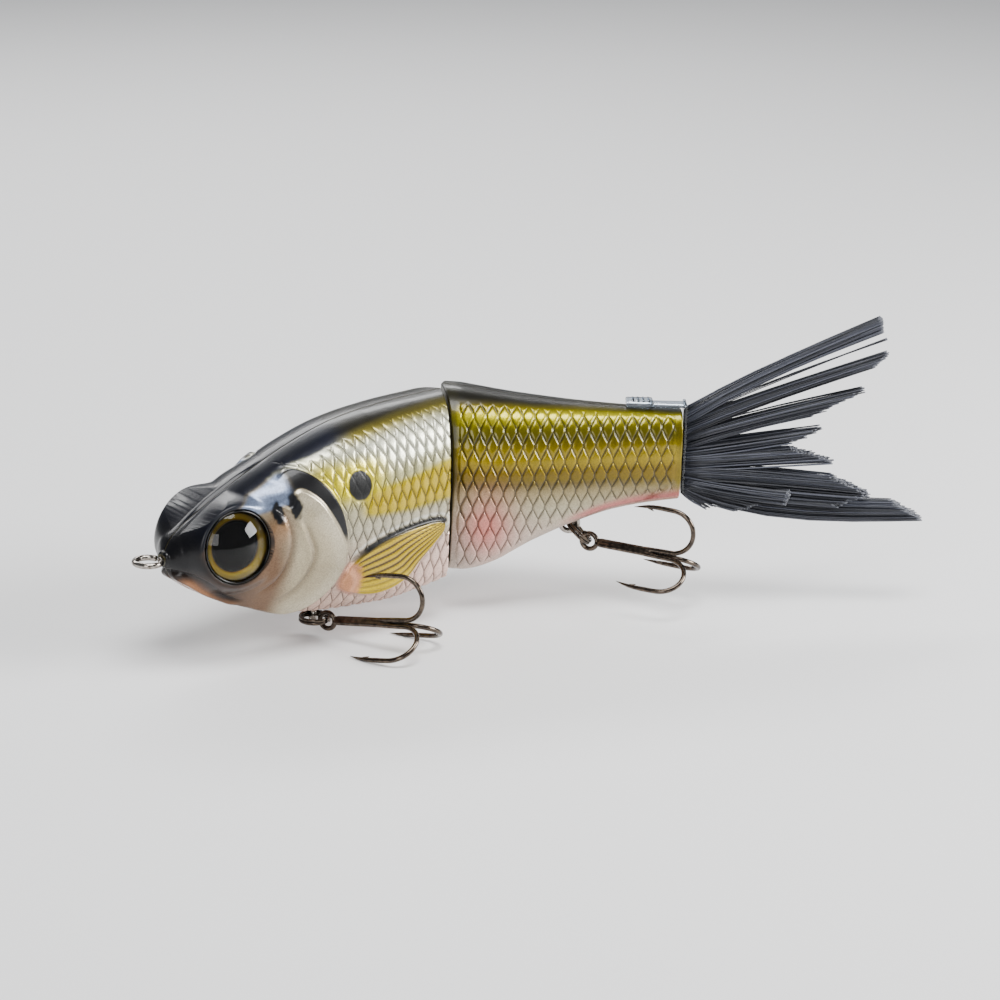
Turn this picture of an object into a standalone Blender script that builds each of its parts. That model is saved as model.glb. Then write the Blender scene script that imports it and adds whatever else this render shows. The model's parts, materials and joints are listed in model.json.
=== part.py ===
"""Two-section glide swimbait with a brush tail, treble hooks and a pinned body joint.

Local frame of the lure: the body joint's pin stands on the Z axis, the front section
lies along -X with its nose foremost, and z = 0 is the lowest line of its belly.
The rear section has the same frame turned about the pin by the rest bend.
At the end the whole lure is moved so that the world origin is at the centre of the
bottom of its bounding box.
"""
import math

import bmesh
import bpy
from mathutils import Matrix, Vector

# ---------------------------------------------------------------- driving dimensions (mm)
MM = 0.001
REST_BEND_DEG = 40.0        # tail swung to the fish's left, -Y
SEAM = 0.05                 # each moulded half stops this far short of the midplane
FRONT_V_SLOPE = 0.633       # the front section ends in a wedge, apex rearwards
FRONT_APEX_X = -2.2
REAR_V_SLOPE = 0.231        # the rear section starts with a blunter wedge
REAR_APEX_X = -1.56

EYE_CENTRE = (-44.2, 13.2)  # x, z of the eye on the head's side
EYE_RADIUS = 5.15
EYE_NORMAL = (-0.14, 0.98, 0.12)
EYE_SURFACE_Y = 6.05        # half width of the head under the eye's centre

EYE_POCKET_DEPTH = 1.35
EYE_PLAY = 0.12             # radial gap round the eye disc in its pocket
EYE_DISC_BACK = -1.2        # disc's faces along the eye's normal
EYE_DISC_FACE = -0.1
# the clear dome's rows, radius and height over the head's surface
DOME_ROWS = ((5.1, 0.0), (5.1, 0.25), (4.5, 0.9), (3.2, 1.5), (1.6, 1.85))

WIRE = 0.42                 # radius of the wire that all eyes are bent from
WIRE_PLAY = 0.13            # radial gap round a wire in its bore
TIE_X = -55.1               # centre of the line tie's ring
TIE_Z = 11.6
TIE_RING = 1.85
TIE_SHANK_END = -45.2
LOOP_RADIUS = 1.25
FRONT_HANGER_X = -25.6
REAR_HANGER_X = 18.0
FRONT_LOOP_DROP = 2.4       # hanger loop's centre below the belly
REAR_LOOP_DROP = 1.3
FRONT_SHANK_DEPTH = 7.9     # how far each hanger's shank runs into the body
REAR_SHANK_DEPTH = 6.9
BORE_OVERRUN = 0.3
FRONT_RECESS_RADIUS = 1.95  # round recess in the belly over the front hanger's loop
FRONT_RECESS_DEPTH = 0.75
REAR_RECESS = (2.2, 0.85, 1.25)     # half length, half width and depth of the rear one

PIN_RADIUS = 0.6
PIN_PLAY = 0.1
PIN_SPAN = (4.0, 25.0)
PIN_END_PLAY = 0.2
HINGE_LEVELS = (7.0, 20.5)
HINGE_RING = 1.32
HINGE_SHANK_END = -8.7
HINGE_SLOT_RADIUS = 2.75
HINGE_SLOT_HALF = 0.8

# name, x and z of the cross-lying weights in the head
FRONT_BALLAST = (("middle", -31.2, 4.7), ("forward", -37.6, 7.4))
FRONT_BALLAST_RADIUS = 2.5
FRONT_BALLAST_HALF = 4.0
REAR_BALLAST = (24.2, 15.4)
REAR_BALLAST_RADIUS = 2.0
REAR_BALLAST_HALF = 2.45
BALLAST_PLAY = 0.15

RING_RADIUS = 2.1           # split ring, mean
RING_WIDTH = 0.46
RING_HEIGHT = 0.96
TREBLE_EYE = 1.2
TREBLE_WIRE = 0.37
TREBLE_STRAIGHT = 12.8
TREBLE_FIRST = 0.55         # bend's distance from the axis where it starts
TREBLE_BEND = 3.25
TREBLE_SHANK = 0.78         # brazed shank's radius
TREBLE_SHANK_END = 9.2
# distance along the shank and off its axis where each bend's wire leaves the braze
TREBLE_LEAVE = ((7.6, 0.30), (9.4, 0.46), (12.8, 0.55))
# distance along, offset from the bend's far side and radius of the ground point
TREBLE_POINT = ((10.6, 0.05, 0.35), (8.4, -0.1, 0.26), (6.6, -0.5, 0.06))
TREBLE_BARB = ((8.9, -0.1, 0.2), (9.75, -0.62, 0.05))

FRONT_RING_HEADING = (-0.50, -0.866, 0.0)   # the ring lies out to the left and forward
FRONT_HOOK_TURN_DEG = 50.0  # how far round its ring the front hook's eye sits
FRONT_SHANK_RISE = 0.15
REAR_RING_DROP_DEG = 42.0   # the rear ring hangs back and down
REAR_HOOK_YAW_DEG = 25.0    # the rear hook lies out to the left
REAR_SHANK_RISE = -0.03

# x, top, bottom, half width, flat belly as a share of the half width, chamfer height
FRONT_STATIONS = (
    (-52.3, 12.6, 10.2, 1.2, .50, .3),
    (-51.3, 14.2, 8.9, 2.9, .50, .5),
    (-49.0, 15.9, 7.3, 4.4, .48, .8),
    (-45.6, 17.7, 5.5, 5.6, .46, 1.0),
    (-41.0, 19.9, 3.4, 6.9, .46, 1.2),
    (-35.0, 22.6, 1.3, 8.0, .50, 1.4),
    (-29.5, 24.6, 0.45, 8.7, .58, 1.5),
    (-23.0, 26.3, 0.2, 9.1, .68, 1.5),
    (-17.9, 27.0, 0.2, 9.2, .76, 1.5),
    (-13.0, 27.4, 0.7, 9.15, .80, 1.5),
    (-7.9, 27.5, 1.6, 9.0, .86, 1.5),
    (-2.2, 27.4, 1.9, 8.9, .86, 1.5),
)
REAR_STATIONS = (
    (-1.56, 27.8, 1.7, 8.3, .86, 1.5),
    (0.4, 27.7, 1.7, 8.5, .86, 1.5),
    (2.5, 27.4, 1.9, 8.6, .84, 1.5),
    (7.0, 26.7, 3.1, 8.4, .78, 1.3),
    (12.5, 26.0, 5.8, 7.6, .70, 1.0),
    (18.5, 25.4, 8.3, 6.5, .64, .8),
    (24.5, 25.0, 10.2, 5.4, .60, .7),
    (30.5, 24.7, 11.2, 4.4, .58, .6),
    (33.9, 24.6, 11.5, 3.8, .58, .6),
)
# where each section is cut into rings, and which rings bound its hollow
FRONT_RINGS = (-52.3, -51.7, -50.6, -49.0, -47.0, -44.5, -41.0, -37.0, -33.0, -29.0, -25.0,
               -22.0, -18.0, -14.0, -10.4, -7.9)
FRONT_HOLLOW = (-22.0, -10.4)
REAR_RINGS = (-1.56, 0.4, 2.5, 5.0, 8.0, 11.0, 13.5, 16.5, 20.0, 24.0, 28.0, 31.5, 33.9)
REAR_HOLLOW = (5.0, 13.5)
WALL = 1.5

# the tail insert's solids: low and high corners, z from the top of the tail where marked
TAIL_PLATE_X = 34.6         # outer face of the tail insert's end plate
TAIL_TONGUE = ((28.3, -0.9, 13.9), (34.4, 0.9, 22.1))
TAIL_SOCKET = ((28.0, -1.15, 13.6), (36.0, 1.15, 22.4))
TAIL_PLATE = ((34.1, -2.2, 12.2), (TAIL_PLATE_X, 2.2))
TAIL_BAR = ((29.2, -1.0), (34.4, 1.0), (0.3, 0.9))
TAIL_TAB = ((25.6, -1.5), (29.4, 1.5), (0.35, 1.25))
BRUSH_BLOCK = ((34.8, -1.9, 12.2), (37.2, 1.9, 24.6))
BRUSH_ROOT_HALF = (1.6, 1.0)
BRUSH_ROOT_X = 34.8
# each lobe: root z, tip x, tip z, tip y, half height at the tip, half thickness at the tip
BRUSH_LOBES = (
    (22.6, 62.8, 37.9, 0.0, 1.2, 1.4),
    (21.4, 63.4, 32.9, 0.0, 1.2, 1.4),
    (19.8, 60.0, 27.2, 0.0, 1.2, 1.4),
    (18.2, 54.2, 21.4, 0.0, 1.5, 1.4),
    (16.6, 56.4, 17.2, 0.0, 1.4, 1.4),
    (15.0, 61.2, 12.5, 0.0, 1.2, 1.4),
    (13.8, 70.2, 8.9, -1.0, 1.2, 1.8),
)

COLOURS = {
    # name: (base colour, roughness, metallic)
    "shell": ((0.62, 0.58, 0.42), 0.25, 0.3),
    "shell_rear": ((0.55, 0.50, 0.26), 0.25, 0.3),
    "steel": ((0.55, 0.54, 0.52), 0.25, 1.0),
    "dark_steel": ((0.10, 0.09, 0.085), 0.25, 1.0),
    "ballast": ((0.35, 0.35, 0.37), 0.45, 1.0),
    "gold": ((0.75, 0.58, 0.18), 0.25, 0.8),
    "clear": ((0.85, 0.87, 0.88), 0.08, 0.0),
    "bristle": ((0.12, 0.12, 0.13), 0.5, 0.0),
}


# ---------------------------------------------------------------- helpers
def clear_scene():
    for old in list(bpy.data.objects):
        bpy.data.objects.remove(old, do_unlink=True)


def make_material(name):
    colour, rough, metal = COLOURS[name]
    mat = bpy.data.materials.get(name)
    if mat is None:
        mat = bpy.data.materials.new(name)
        mat.use_nodes = True
        shader = mat.node_tree.nodes["Principled BSDF"]
        shader.inputs["Base Color"].default_value = (*colour, 1.0)
        shader.inputs["Roughness"].default_value = rough
        shader.inputs["Metallic"].default_value = metal
        if name == "clear":
            shader.inputs["Transmission Weight"].default_value = 0.8
    return mat


def empty(name, location, turn_z, parent):
    obj = bpy.data.objects.new(name, None)
    bpy.context.scene.collection.objects.link(obj)
    obj.location = Vector(location) * MM
    obj.rotation_euler = (0.0, 0.0, turn_z)
    obj.parent = parent
    return obj


def mesh_object(name, verts, faces, matname, origin=(0, 0, 0)):
    """Object from points in mm of its frame; its own origin is put at origin."""
    mesh = bpy.data.meshes.new(name)
    shift = Vector(origin)
    mesh.from_pydata([(Vector(v) - shift) * MM for v in verts], [], faces)
    bm = bmesh.new()
    bm.from_mesh(mesh)
    bmesh.ops.recalc_face_normals(bm, faces=bm.faces)
    bm.to_mesh(mesh)
    bm.free()
    mesh.materials.append(make_material(matname))
    obj = bpy.data.objects.new(name, mesh)
    bpy.context.scene.collection.objects.link(obj)
    obj.location = shift * MM
    return obj


def combine(target, other, operation):
    """Boolean of two objects of one frame, written into target; other is removed."""
    modifier = target.modifiers.new("combine", "BOOLEAN")
    modifier.operation = operation
    modifier.solver = "EXACT"
    modifier.object = other
    bpy.context.view_layer.update()
    graph = bpy.context.evaluated_depsgraph_get()
    result = bpy.data.meshes.new_from_object(target.evaluated_get(graph))
    target.modifiers.clear()
    target.data = result
    bpy.data.objects.remove(other, do_unlink=True)
    return target


def tube(name, path, radii, sides, matname, closed=False, up=(0, 0, 1)):
    """Round tube along points, with a radius for each; flat caps when it is open."""
    pts = [Vector(p) for p in path]
    count = len(pts)
    verts, faces = [], []
    normal = None
    for i, point in enumerate(pts):
        ahead = pts[(i + 1) % count] if closed or i < count - 1 else point
        behind = pts[i - 1] if closed or i > 0 else point
        tangent = (ahead - behind).normalized()
        if normal is None:
            normal = Vector(up)
        normal = (normal - tangent * normal.dot(tangent)).normalized()
        side = tangent.cross(normal)
        for k in range(sides):
            angle = 2 * math.pi * (k + 0.5) / sides
            offset = normal * math.cos(angle) + side * math.sin(angle)
            verts.append(point + offset * radii[i])
    spans = count if closed else count - 1
    for i in range(spans):
        a, b = i * sides, ((i + 1) % count) * sides
        for k in range(sides):
            n = (k + 1) % sides
            faces.append((a + k, a + n, b + n, b + k))
    if not closed:
        faces.append(tuple(range(sides))[::-1])
        last = (count - 1) * sides
        faces.append(tuple(range(last, last + sides)))
    return mesh_object(name, verts, faces, matname)


def torus(name, centre, u, v, radius, wire, steps, sides, matname):
    """Ring of round wire in the plane of u and v."""
    u, v, centre = Vector(u).normalized(), Vector(v).normalized(), Vector(centre)
    path = []
    for i in range(steps):
        angle = 2 * math.pi * i / steps
        path.append(centre + u * radius * math.cos(angle) + v * radius * math.sin(angle))
    return tube(name, path, [wire] * steps, sides, matname, closed=True, up=u.cross(v))


def rod(name, start, end, radius, sides, matname):
    start, end = Vector(start), Vector(end)
    direction = (end - start).normalized()
    up = (0, 0, 1) if abs(direction.z) < 0.9 else (1, 0, 0)
    return tube(name, [start, end], [radius, radius], sides, matname, up=up)


def box(name, low, high, matname="steel"):
    x0, y0, z0 = low
    x1, y1, z1 = high
    verts = [(x0, y0, z0), (x1, y0, z0), (x1, y1, z0), (x0, y1, z0),
             (x0, y0, z1), (x1, y0, z1), (x1, y1, z1), (x0, y1, z1)]
    faces = [(0, 3, 2, 1), (4, 5, 6, 7), (0, 1, 5, 4), (1, 2, 6, 5), (2, 3, 7, 6), (3, 0, 4, 7)]
    return mesh_object(name, verts, faces, matname)


# ---------------------------------------------------------------- body section shapes
def smooth_read(stations, column, x):
    """Monotone cubic through the stations, so that the outline has no overshoot."""
    xs = [s[0] for s in stations]
    ys = [s[column] for s in stations]
    last = len(xs) - 1
    gaps = [xs[i + 1] - xs[i] for i in range(last)]
    rises = [(ys[i + 1] - ys[i]) / gaps[i] for i in range(last)]
    slopes = [rises[0]]
    for i in range(1, last):
        if rises[i - 1] * rises[i] <= 0:
            slopes.append(0.0)
        else:
            w1 = 2 * gaps[i] + gaps[i - 1]
            w2 = gaps[i] + 2 * gaps[i - 1]
            slopes.append((w1 + w2) / (w1 / rises[i - 1] + w2 / rises[i]))
    slopes.append(rises[-1])
    i = 0
    while i < last - 1 and x > xs[i + 1]:
        i += 1
    t = min(max((x - xs[i]) / gaps[i], 0.0), 1.0)
    h00 = 2 * t ** 3 - 3 * t ** 2 + 1
    h10 = t ** 3 - 2 * t ** 2 + t
    h01 = -2 * t ** 3 + 3 * t ** 2
    h11 = t ** 3 - t ** 2
    return h00 * ys[i] + h10 * gaps[i] * slopes[i] + h01 * ys[i + 1] + h11 * gaps[i] * slopes[i + 1]


def half_section(stations, x, inset=0.0, low_steps=4, high_steps=8):
    """Half cross-section from the belly's middle to the back's middle, as (y, z)."""
    top, bottom, width, flat, chamfer = [smooth_read(stations, c, x) for c in range(1, 6)]
    top, bottom, width = top - inset, bottom + inset, width - inset
    shoulder = min(flat + 0.13, 0.97)
    middle = bottom + 0.46 * (top - bottom)
    points = [(SEAM, bottom), (flat * width, bottom), (shoulder * width, bottom + chamfer)]
    for i in range(1, low_steps + 1):
        t = i / low_steps
        y = width * (shoulder + (1 - shoulder) * math.sin(t * math.pi / 2))
        points.append((y, bottom + chamfer + (middle - bottom - chamfer) * t))
    for i in range(1, high_steps + 1):
        angle = i / high_steps * math.pi / 2
        y = width * max(math.cos(angle), 0.0) ** 0.8
        z = middle + (top - middle) * math.sin(angle) ** 0.8
        points.append((max(y, SEAM), z))
    points[-1] = (SEAM, top)
    return points


def front_x(x, y):
    """Rings close behind the last plain one lean back to the wedge face."""
    reach = min(max((x + 18.0) / 10.1, 0.0), 1.0)
    return x + reach * (FRONT_APEX_X + 7.9 - FRONT_V_SLOPE * y)


def rear_x(x, y):
    reach = min(max((9.0 - x) / 10.56, 0.0), 1.0)
    return x + reach * REAR_V_SLOPE * y


def body_half(name, side, stations, rings, hollow, place_x, matname):
    """One moulded half: outer skin, hollow, flat end faces and the seam face."""
    verts, outer, inner = [], {}, {}
    for x in rings:
        points = half_section(stations, x)
        outer[x] = range(len(verts), len(verts) + len(points))
        verts += [(place_x(x, y), side * y, z) for y, z in points]
    inner_rings = [x for x in rings if hollow[0] <= x <= hollow[1]]
    for x in inner_rings:
        points = half_section(stations, x, inset=WALL)
        inner[x] = range(len(verts), len(verts) + len(points))
        verts += [(place_x(x, y), side * y, z) for y, z in points]
    size = len(outer[rings[0]])
    faces = []
    for table, xs in ((outer, rings), (inner, inner_rings)):
        for a, b in zip(xs, xs[1:]):
            for k in range(size - 1):
                faces.append((table[a][k], table[b][k], table[b][k + 1], table[a][k + 1]))
        faces.append(tuple(table[xs[0]]))
        faces.append(tuple(table[xs[-1]]))
    for a, b in zip(inner_rings, inner_rings[1:]):
        faces.append((outer[a][0], outer[b][0], inner[b][0], inner[a][0]))
        faces.append((outer[a][-1], outer[b][-1], inner[b][-1], inner[a][-1]))
    ahead = [x for x in rings if x <= inner_rings[0]]
    behind = [x for x in rings if x >= inner_rings[-1]]
    for xs, ring in ((ahead, inner_rings[0]), (behind[::-1], inner_rings[-1])):
        loop = [outer[x][0] for x in xs] + [inner[ring][0], inner[ring][-1]]
        loop += [outer[x][-1] for x in reversed(xs)]
        faces.append(tuple(loop))
    return mesh_object(name, verts, faces, matname)


# ---------------------------------------------------------------- hardware shapes
def wire_loop(name, centre, loop_u, loop_v, shank_end, matname, radius=LOOP_RADIUS, wire=WIRE):
    """Closed eye of wire with a straight shank, as one solid."""
    ring = torus(name, centre, loop_u, loop_v, radius, wire, 20, 8, matname)
    direction = (Vector(shank_end) - Vector(centre)).normalized()
    shank = rod(name + "_shank", Vector(centre) + direction * radius, shank_end, wire, 8, matname)
    return combine(ring, shank, "UNION")


def split_ring(name, centre, across, flat_normal):
    """Key ring of two flat turns, drawn as one ring with a groove between the turns."""
    centre, u = Vector(centre), Vector(across).normalized()
    n = Vector(flat_normal).normalized()
    v = n.cross(u)
    half_w, half_h, groove = RING_WIDTH / 2, RING_HEIGHT / 2, 0.06
    profile = [(-half_w, -half_h), (half_w, -half_h), (half_w, -groove), (half_w - groove, 0.0),
               (half_w, groove), (half_w, half_h), (-half_w, half_h), (-half_w, 0.0)]
    steps, count = 28, len(profile)
    verts, faces = [], []
    for i in range(steps):
        angle = 2 * math.pi * i / steps
        out = u * math.cos(angle) + v * math.sin(angle)
        verts += [centre + out * (RING_RADIUS + r) + n * h for r, h in profile]
    for i in range(steps):
        a, b = i * count, ((i + 1) % steps) * count
        for k in range(count):
            faces.append((a + k, a + (k + 1) % count, b + (k + 1) % count, b + k))
    return mesh_object(name, verts, faces, "dark_steel")


def treble_hook(name, eye, axis, upright):
    """Treble: eye, brazed shank and three bends, from the eye's centre along axis."""
    eye, axis = Vector(eye), Vector(axis).normalized()
    first = Vector(upright)
    first = (first - axis * first.dot(axis)).normalized()
    body = rod(name, eye + axis * (TREBLE_EYE - 0.1), eye + axis * TREBLE_SHANK_END, TREBLE_SHANK, 9,
               "dark_steel")
    loop = torus(name + "_eye", eye, axis, first, TREBLE_EYE, TREBLE_WIRE, 18, 7, "dark_steel")
    combine(body, loop, "UNION")
    top = TREBLE_FIRST + 2 * TREBLE_BEND
    bend_steps = 9
    for k in range(3):
        out = Matrix.Rotation(2 * math.pi * k / 3, 3, axis) @ first
        path = [eye + axis * s + out * r for s, r in TREBLE_LEAVE]
        for i in range(1, bend_steps + 1):
            angle = math.pi * i / bend_steps
            s = TREBLE_STRAIGHT + TREBLE_BEND * math.sin(angle)
            r = TREBLE_FIRST + TREBLE_BEND * (1 - math.cos(angle))
            path.append(eye + axis * s + out * r)
        radii = [TREBLE_WIRE] * len(path)
        for s, r, thick in TREBLE_POINT:
            path.append(eye + axis * s + out * (top + r))
            radii.append(thick)
        prong = tube(name + "_prong", path, radii, 7, "dark_steel", up=axis.cross(out))
        combine(body, prong, "UNION")
        barb_path = [eye + axis * s + out * (top + r) for s, r, thick in TREBLE_BARB]
        barb_radii = [thick for s, r, thick in TREBLE_BARB]
        barb = tube(name + "_barb", barb_path, barb_radii, 5, "dark_steel", up=axis.cross(out))
        combine(body, barb, "UNION")
    return body


def place(obj, parent, pivot=None):
    """Parent an object to its frame and put its origin on its pivot."""
    if pivot is not None:
        shift = Vector(pivot) * MM - obj.location
        obj.data.transform(Matrix.Translation(-shift))
        obj.location = obj.location + shift
    obj.parent = parent
    obj.data.shade_smooth()
    obj.data.set_sharp_from_angle(angle=math.radians(35))
    return obj


# ---------------------------------------------------------------- build
clear_scene()
lure = empty("lure_frame", (0, 0, 0), 0.0, None)
rear_frame = empty("rear_frame", (0, 0, 0), -math.radians(REST_BEND_DEG), lure)


def belly(stations, x):
    return smooth_read(stations, 2, x)


def cut_rod(shell, start, end, radius, sides):
    """Bores a round hole into a shell half."""
    combine(shell, rod("bore", start, end, radius, sides, "steel"), "DIFFERENCE")


def eye_dome(name, centre, normal):
    """Clear dome over the eye disc, turned about the eye's normal."""
    verts, faces = [], []
    u = normal.cross(Vector((0, 0, 1))).normalized()
    v = normal.cross(u)
    steps = 32
    for radius, height in DOME_ROWS:
        for k in range(steps):
            angle = 2 * math.pi * k / steps
            verts.append(centre + normal * height + (u * math.cos(angle) + v * math.sin(angle)) * radius)
    for i in range(len(DOME_ROWS) - 1):
        for k in range(steps):
            n = (k + 1) % steps
            faces.append((i * steps + k, i * steps + n, (i + 1) * steps + n, (i + 1) * steps + k))
    faces.append(tuple(range(steps)))
    faces.append(tuple(range((len(DOME_ROWS) - 1) * steps, len(DOME_ROWS) * steps)))
    return mesh_object(name, verts, faces, "clear")


front_belly = belly(FRONT_STATIONS, FRONT_HANGER_X)
rear_belly = belly(REAR_STATIONS, REAR_HANGER_X)
bore_radius = WIRE + WIRE_PLAY

# front section, two moulded halves, each with an eye
for side, label in ((-1, "left"), (1, "right")):
    shell = body_half("front_shell_" + label, side, FRONT_STATIONS, FRONT_RINGS, FRONT_HOLLOW,
                      front_x, "shell")
    normal = Vector((EYE_NORMAL[0], side * EYE_NORMAL[1], EYE_NORMAL[2])).normalized()
    centre = Vector((EYE_CENTRE[0], side * EYE_SURFACE_Y, EYE_CENTRE[1]))
    cut_rod(shell, centre - normal * EYE_POCKET_DEPTH, centre + normal * EYE_RADIUS, EYE_RADIUS + EYE_PLAY, 36)
    cut_rod(shell, (TIE_X, 0, TIE_Z), (TIE_SHANK_END + BORE_OVERRUN, 0, TIE_Z), bore_radius, 10)
    cut_rod(shell, (FRONT_HANGER_X, 0, front_belly - 3),
            (FRONT_HANGER_X, 0, front_belly + FRONT_SHANK_DEPTH + BORE_OVERRUN), bore_radius, 10)
    cut_rod(shell, (FRONT_HANGER_X, 0, front_belly - 2),
            (FRONT_HANGER_X, 0, front_belly + FRONT_RECESS_DEPTH), FRONT_RECESS_RADIUS, 20)
    for level in HINGE_LEVELS:
        cut_rod(shell, (HINGE_SHANK_END - BORE_OVERRUN, 0, level), (2.0, 0, level), bore_radius, 10)
    reach = FRONT_BALLAST_HALF + BALLAST_PLAY
    for name, x, z in FRONT_BALLAST:
        cut_rod(shell, (x, -reach, z), (x, reach, z), FRONT_BALLAST_RADIUS + BALLAST_PLAY, 20)
    place(shell, lure)
    disc = rod(label + "_eye_disc", centre + normal * EYE_DISC_BACK, centre + normal * EYE_DISC_FACE,
               EYE_RADIUS, 36, "gold")
    place(disc, lure)
    place(eye_dome(label + "_eye_dome", centre, normal), lure)

tie = wire_loop("line_tie", (TIE_X, 0, TIE_Z), (1, 0, 0), (0, 1, 0), (TIE_SHANK_END, 0, TIE_Z), "steel",
                radius=TIE_RING)
place(tie, lure)
front_ring_dir = Vector(FRONT_RING_HEADING).normalized()
front_loop = Vector((FRONT_HANGER_X, 0, front_belly - FRONT_LOOP_DROP))
hanger = wire_loop("front_hook_hanger", front_loop, front_ring_dir, (0, 0, 1),
                   (FRONT_HANGER_X, 0, front_belly + FRONT_SHANK_DEPTH), "steel")
place(hanger, lure)
for level, label in zip(HINGE_LEVELS, ("lower", "upper")):
    eye = wire_loop("hinge_eye_" + label, (0, 0, level), (1, 0, 0), (0, 1, 0), (HINGE_SHANK_END, 0, level),
                    "steel", radius=HINGE_RING)
    place(eye, lure)
for label, x, z in FRONT_BALLAST:
    slug = rod("ballast_" + label, (x, -FRONT_BALLAST_HALF, z), (x, FRONT_BALLAST_HALF, z),
               FRONT_BALLAST_RADIUS, 20, "ballast")
    place(slug, lure)

# rear section, two moulded halves
tail_top = smooth_read(REAR_STATIONS, 1, 30.0)
ballast_x, ballast_z = REAR_BALLAST
for side, label in ((-1, "left"), (1, "right")):
    shell = body_half("rear_shell_" + label, side, REAR_STATIONS, REAR_RINGS, REAR_HOLLOW, rear_x,
                      "shell_rear")
    cut_rod(shell, (0, 0, PIN_SPAN[0] - PIN_END_PLAY), (0, 0, PIN_SPAN[1] + PIN_END_PLAY),
            PIN_RADIUS + PIN_PLAY, 12)
    for level in HINGE_LEVELS:
        cut_rod(shell, (0, 0, level - HINGE_SLOT_HALF), (0, 0, level + HINGE_SLOT_HALF), HINGE_SLOT_RADIUS, 24)
    cut_rod(shell, (REAR_HANGER_X, 0, rear_belly - 5),
            (REAR_HANGER_X, 0, rear_belly + REAR_SHANK_DEPTH + BORE_OVERRUN), bore_radius, 10)
    half_long, half_wide, depth = REAR_RECESS
    recess = box("recess", (REAR_HANGER_X - half_long, -half_wide, rear_belly - 4),
                 (REAR_HANGER_X + half_long, half_wide, rear_belly + depth))
    combine(shell, recess, "DIFFERENCE")
    reach = REAR_BALLAST_HALF + BALLAST_PLAY
    cut_rod(shell, (ballast_x, -reach, ballast_z), (ballast_x, reach, ballast_z),
            REAR_BALLAST_RADIUS + BALLAST_PLAY, 18)
    combine(shell, box("socket", *TAIL_SOCKET), "DIFFERENCE")
    place(shell, rear_frame)

pin_foot, pin_head = PIN_SPAN
pin = rod("hinge_pin", (0, 0, pin_foot), (0, 0, pin_head), PIN_RADIUS, 12, "steel")
place(pin, rear_frame, (0, 0, pin_foot))
slug = rod("ballast_rear", (ballast_x, -REAR_BALLAST_HALF, ballast_z), (ballast_x, REAR_BALLAST_HALF, ballast_z),
           REAR_BALLAST_RADIUS, 18, "ballast")
place(slug, rear_frame)
rear_loop = Vector((REAR_HANGER_X, 0, rear_belly - REAR_LOOP_DROP))
hanger = wire_loop("rear_hook_hanger", rear_loop, (1, 0, 0), (0, 0, 1),
                   (REAR_HANGER_X, 0, rear_belly + REAR_SHANK_DEPTH), "steel")
place(hanger, rear_frame)

# split rings and treble hooks: each ring passes through its hanger's loop, each hook's
# eye passes round the far side of its ring
front_ring_tangent = Vector((0, 0, 1)).cross(front_ring_dir).normalized()
front_ring_normal = front_ring_dir.cross(front_ring_tangent)
front_ring_centre = front_loop + front_ring_dir * RING_RADIUS
ring = split_ring("front_split_ring", front_ring_centre, front_ring_dir, front_ring_normal)
place(ring, lure, front_loop)
turn = Matrix.Rotation(math.radians(FRONT_HOOK_TURN_DEG), 3, front_ring_normal)
eye_dir = (turn @ front_ring_dir).normalized()
front_eye = front_ring_centre + eye_dir * RING_RADIUS
front_shank_dir = Vector((eye_dir.x, eye_dir.y, FRONT_SHANK_RISE)).normalized()
hook = treble_hook("front_treble_hook", front_eye, front_shank_dir, (0, 0, 1))
place(hook, lure, front_eye)

drop = math.radians(REAR_RING_DROP_DEG)
rear_ring_dir = Vector((math.cos(drop), 0, -math.sin(drop)))
rear_ring_centre = rear_loop + rear_ring_dir * RING_RADIUS
rear_ring_normal = rear_ring_dir.cross(Vector((0, 1, 0)))
ring = split_ring("rear_split_ring", rear_ring_centre, rear_ring_dir, rear_ring_normal)
place(ring, rear_frame, rear_loop)
rear_eye = rear_ring_centre + rear_ring_dir * RING_RADIUS
yaw = math.radians(REAR_HOOK_YAW_DEG)
rear_shank_dir = Vector((math.cos(yaw), -math.sin(yaw), REAR_SHANK_RISE)).normalized()
hook = treble_hook("rear_treble_hook", rear_eye, rear_shank_dir, (0, 0, 1))
place(hook, rear_frame, rear_eye)

# replaceable tail: clear insert and its brush of bristles
insert = box("tail_insert", *TAIL_TONGUE, "clear")
low, high = TAIL_PLATE
combine(insert, box("plate", low, (*high, tail_top + 0.9), "clear"), "UNION")
for low, high, span in (TAIL_BAR, TAIL_TAB):
    block = box("block", (*low, tail_top + span[0]), (*high, tail_top + span[1]), "clear")
    combine(insert, block, "UNION")
place(insert, rear_frame)

brush = box("brush_tail", *BRUSH_BLOCK, "bristle")
for root_z, tip_x, tip_z, tip_y, half_z, half_y in BRUSH_LOBES:
    root = Vector((BRUSH_ROOT_X + 0.4, 0, root_z))
    tip = Vector((tip_x, tip_y, tip_z))
    verts = []
    for centre, hy, hz in ((root, *BRUSH_ROOT_HALF), (tip, half_y, half_z)):
        for dy, dz in ((-1, -1), (1, -1), (1, 1), (-1, 1)):
            verts.append(centre + Vector((0, dy * hy, dz * hz)))
    faces = [(0, 3, 2, 1), (4, 5, 6, 7), (0, 1, 5, 4), (1, 2, 6, 5), (2, 3, 7, 6), (3, 0, 4, 7)]
    combine(brush, mesh_object("lobe", verts, faces, "bristle"), "UNION")
place(brush, rear_frame)

# ---------------------------------------------------------------- world origin
bpy.context.view_layer.update()
corners = []
for obj in bpy.data.objects:
    if obj.type == "MESH":
        corners += [obj.matrix_world @ v.co for v in obj.data.vertices]
low = Vector([min(c[i] for c in corners) for i in range(3)])
high = Vector([max(c[i] for c in corners) for i in range(3)])
lure.location = (-(low.x + high.x) / 2, -(low.y + high.y) / 2, -low.z)
bpy.context.view_layer.update()
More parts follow.
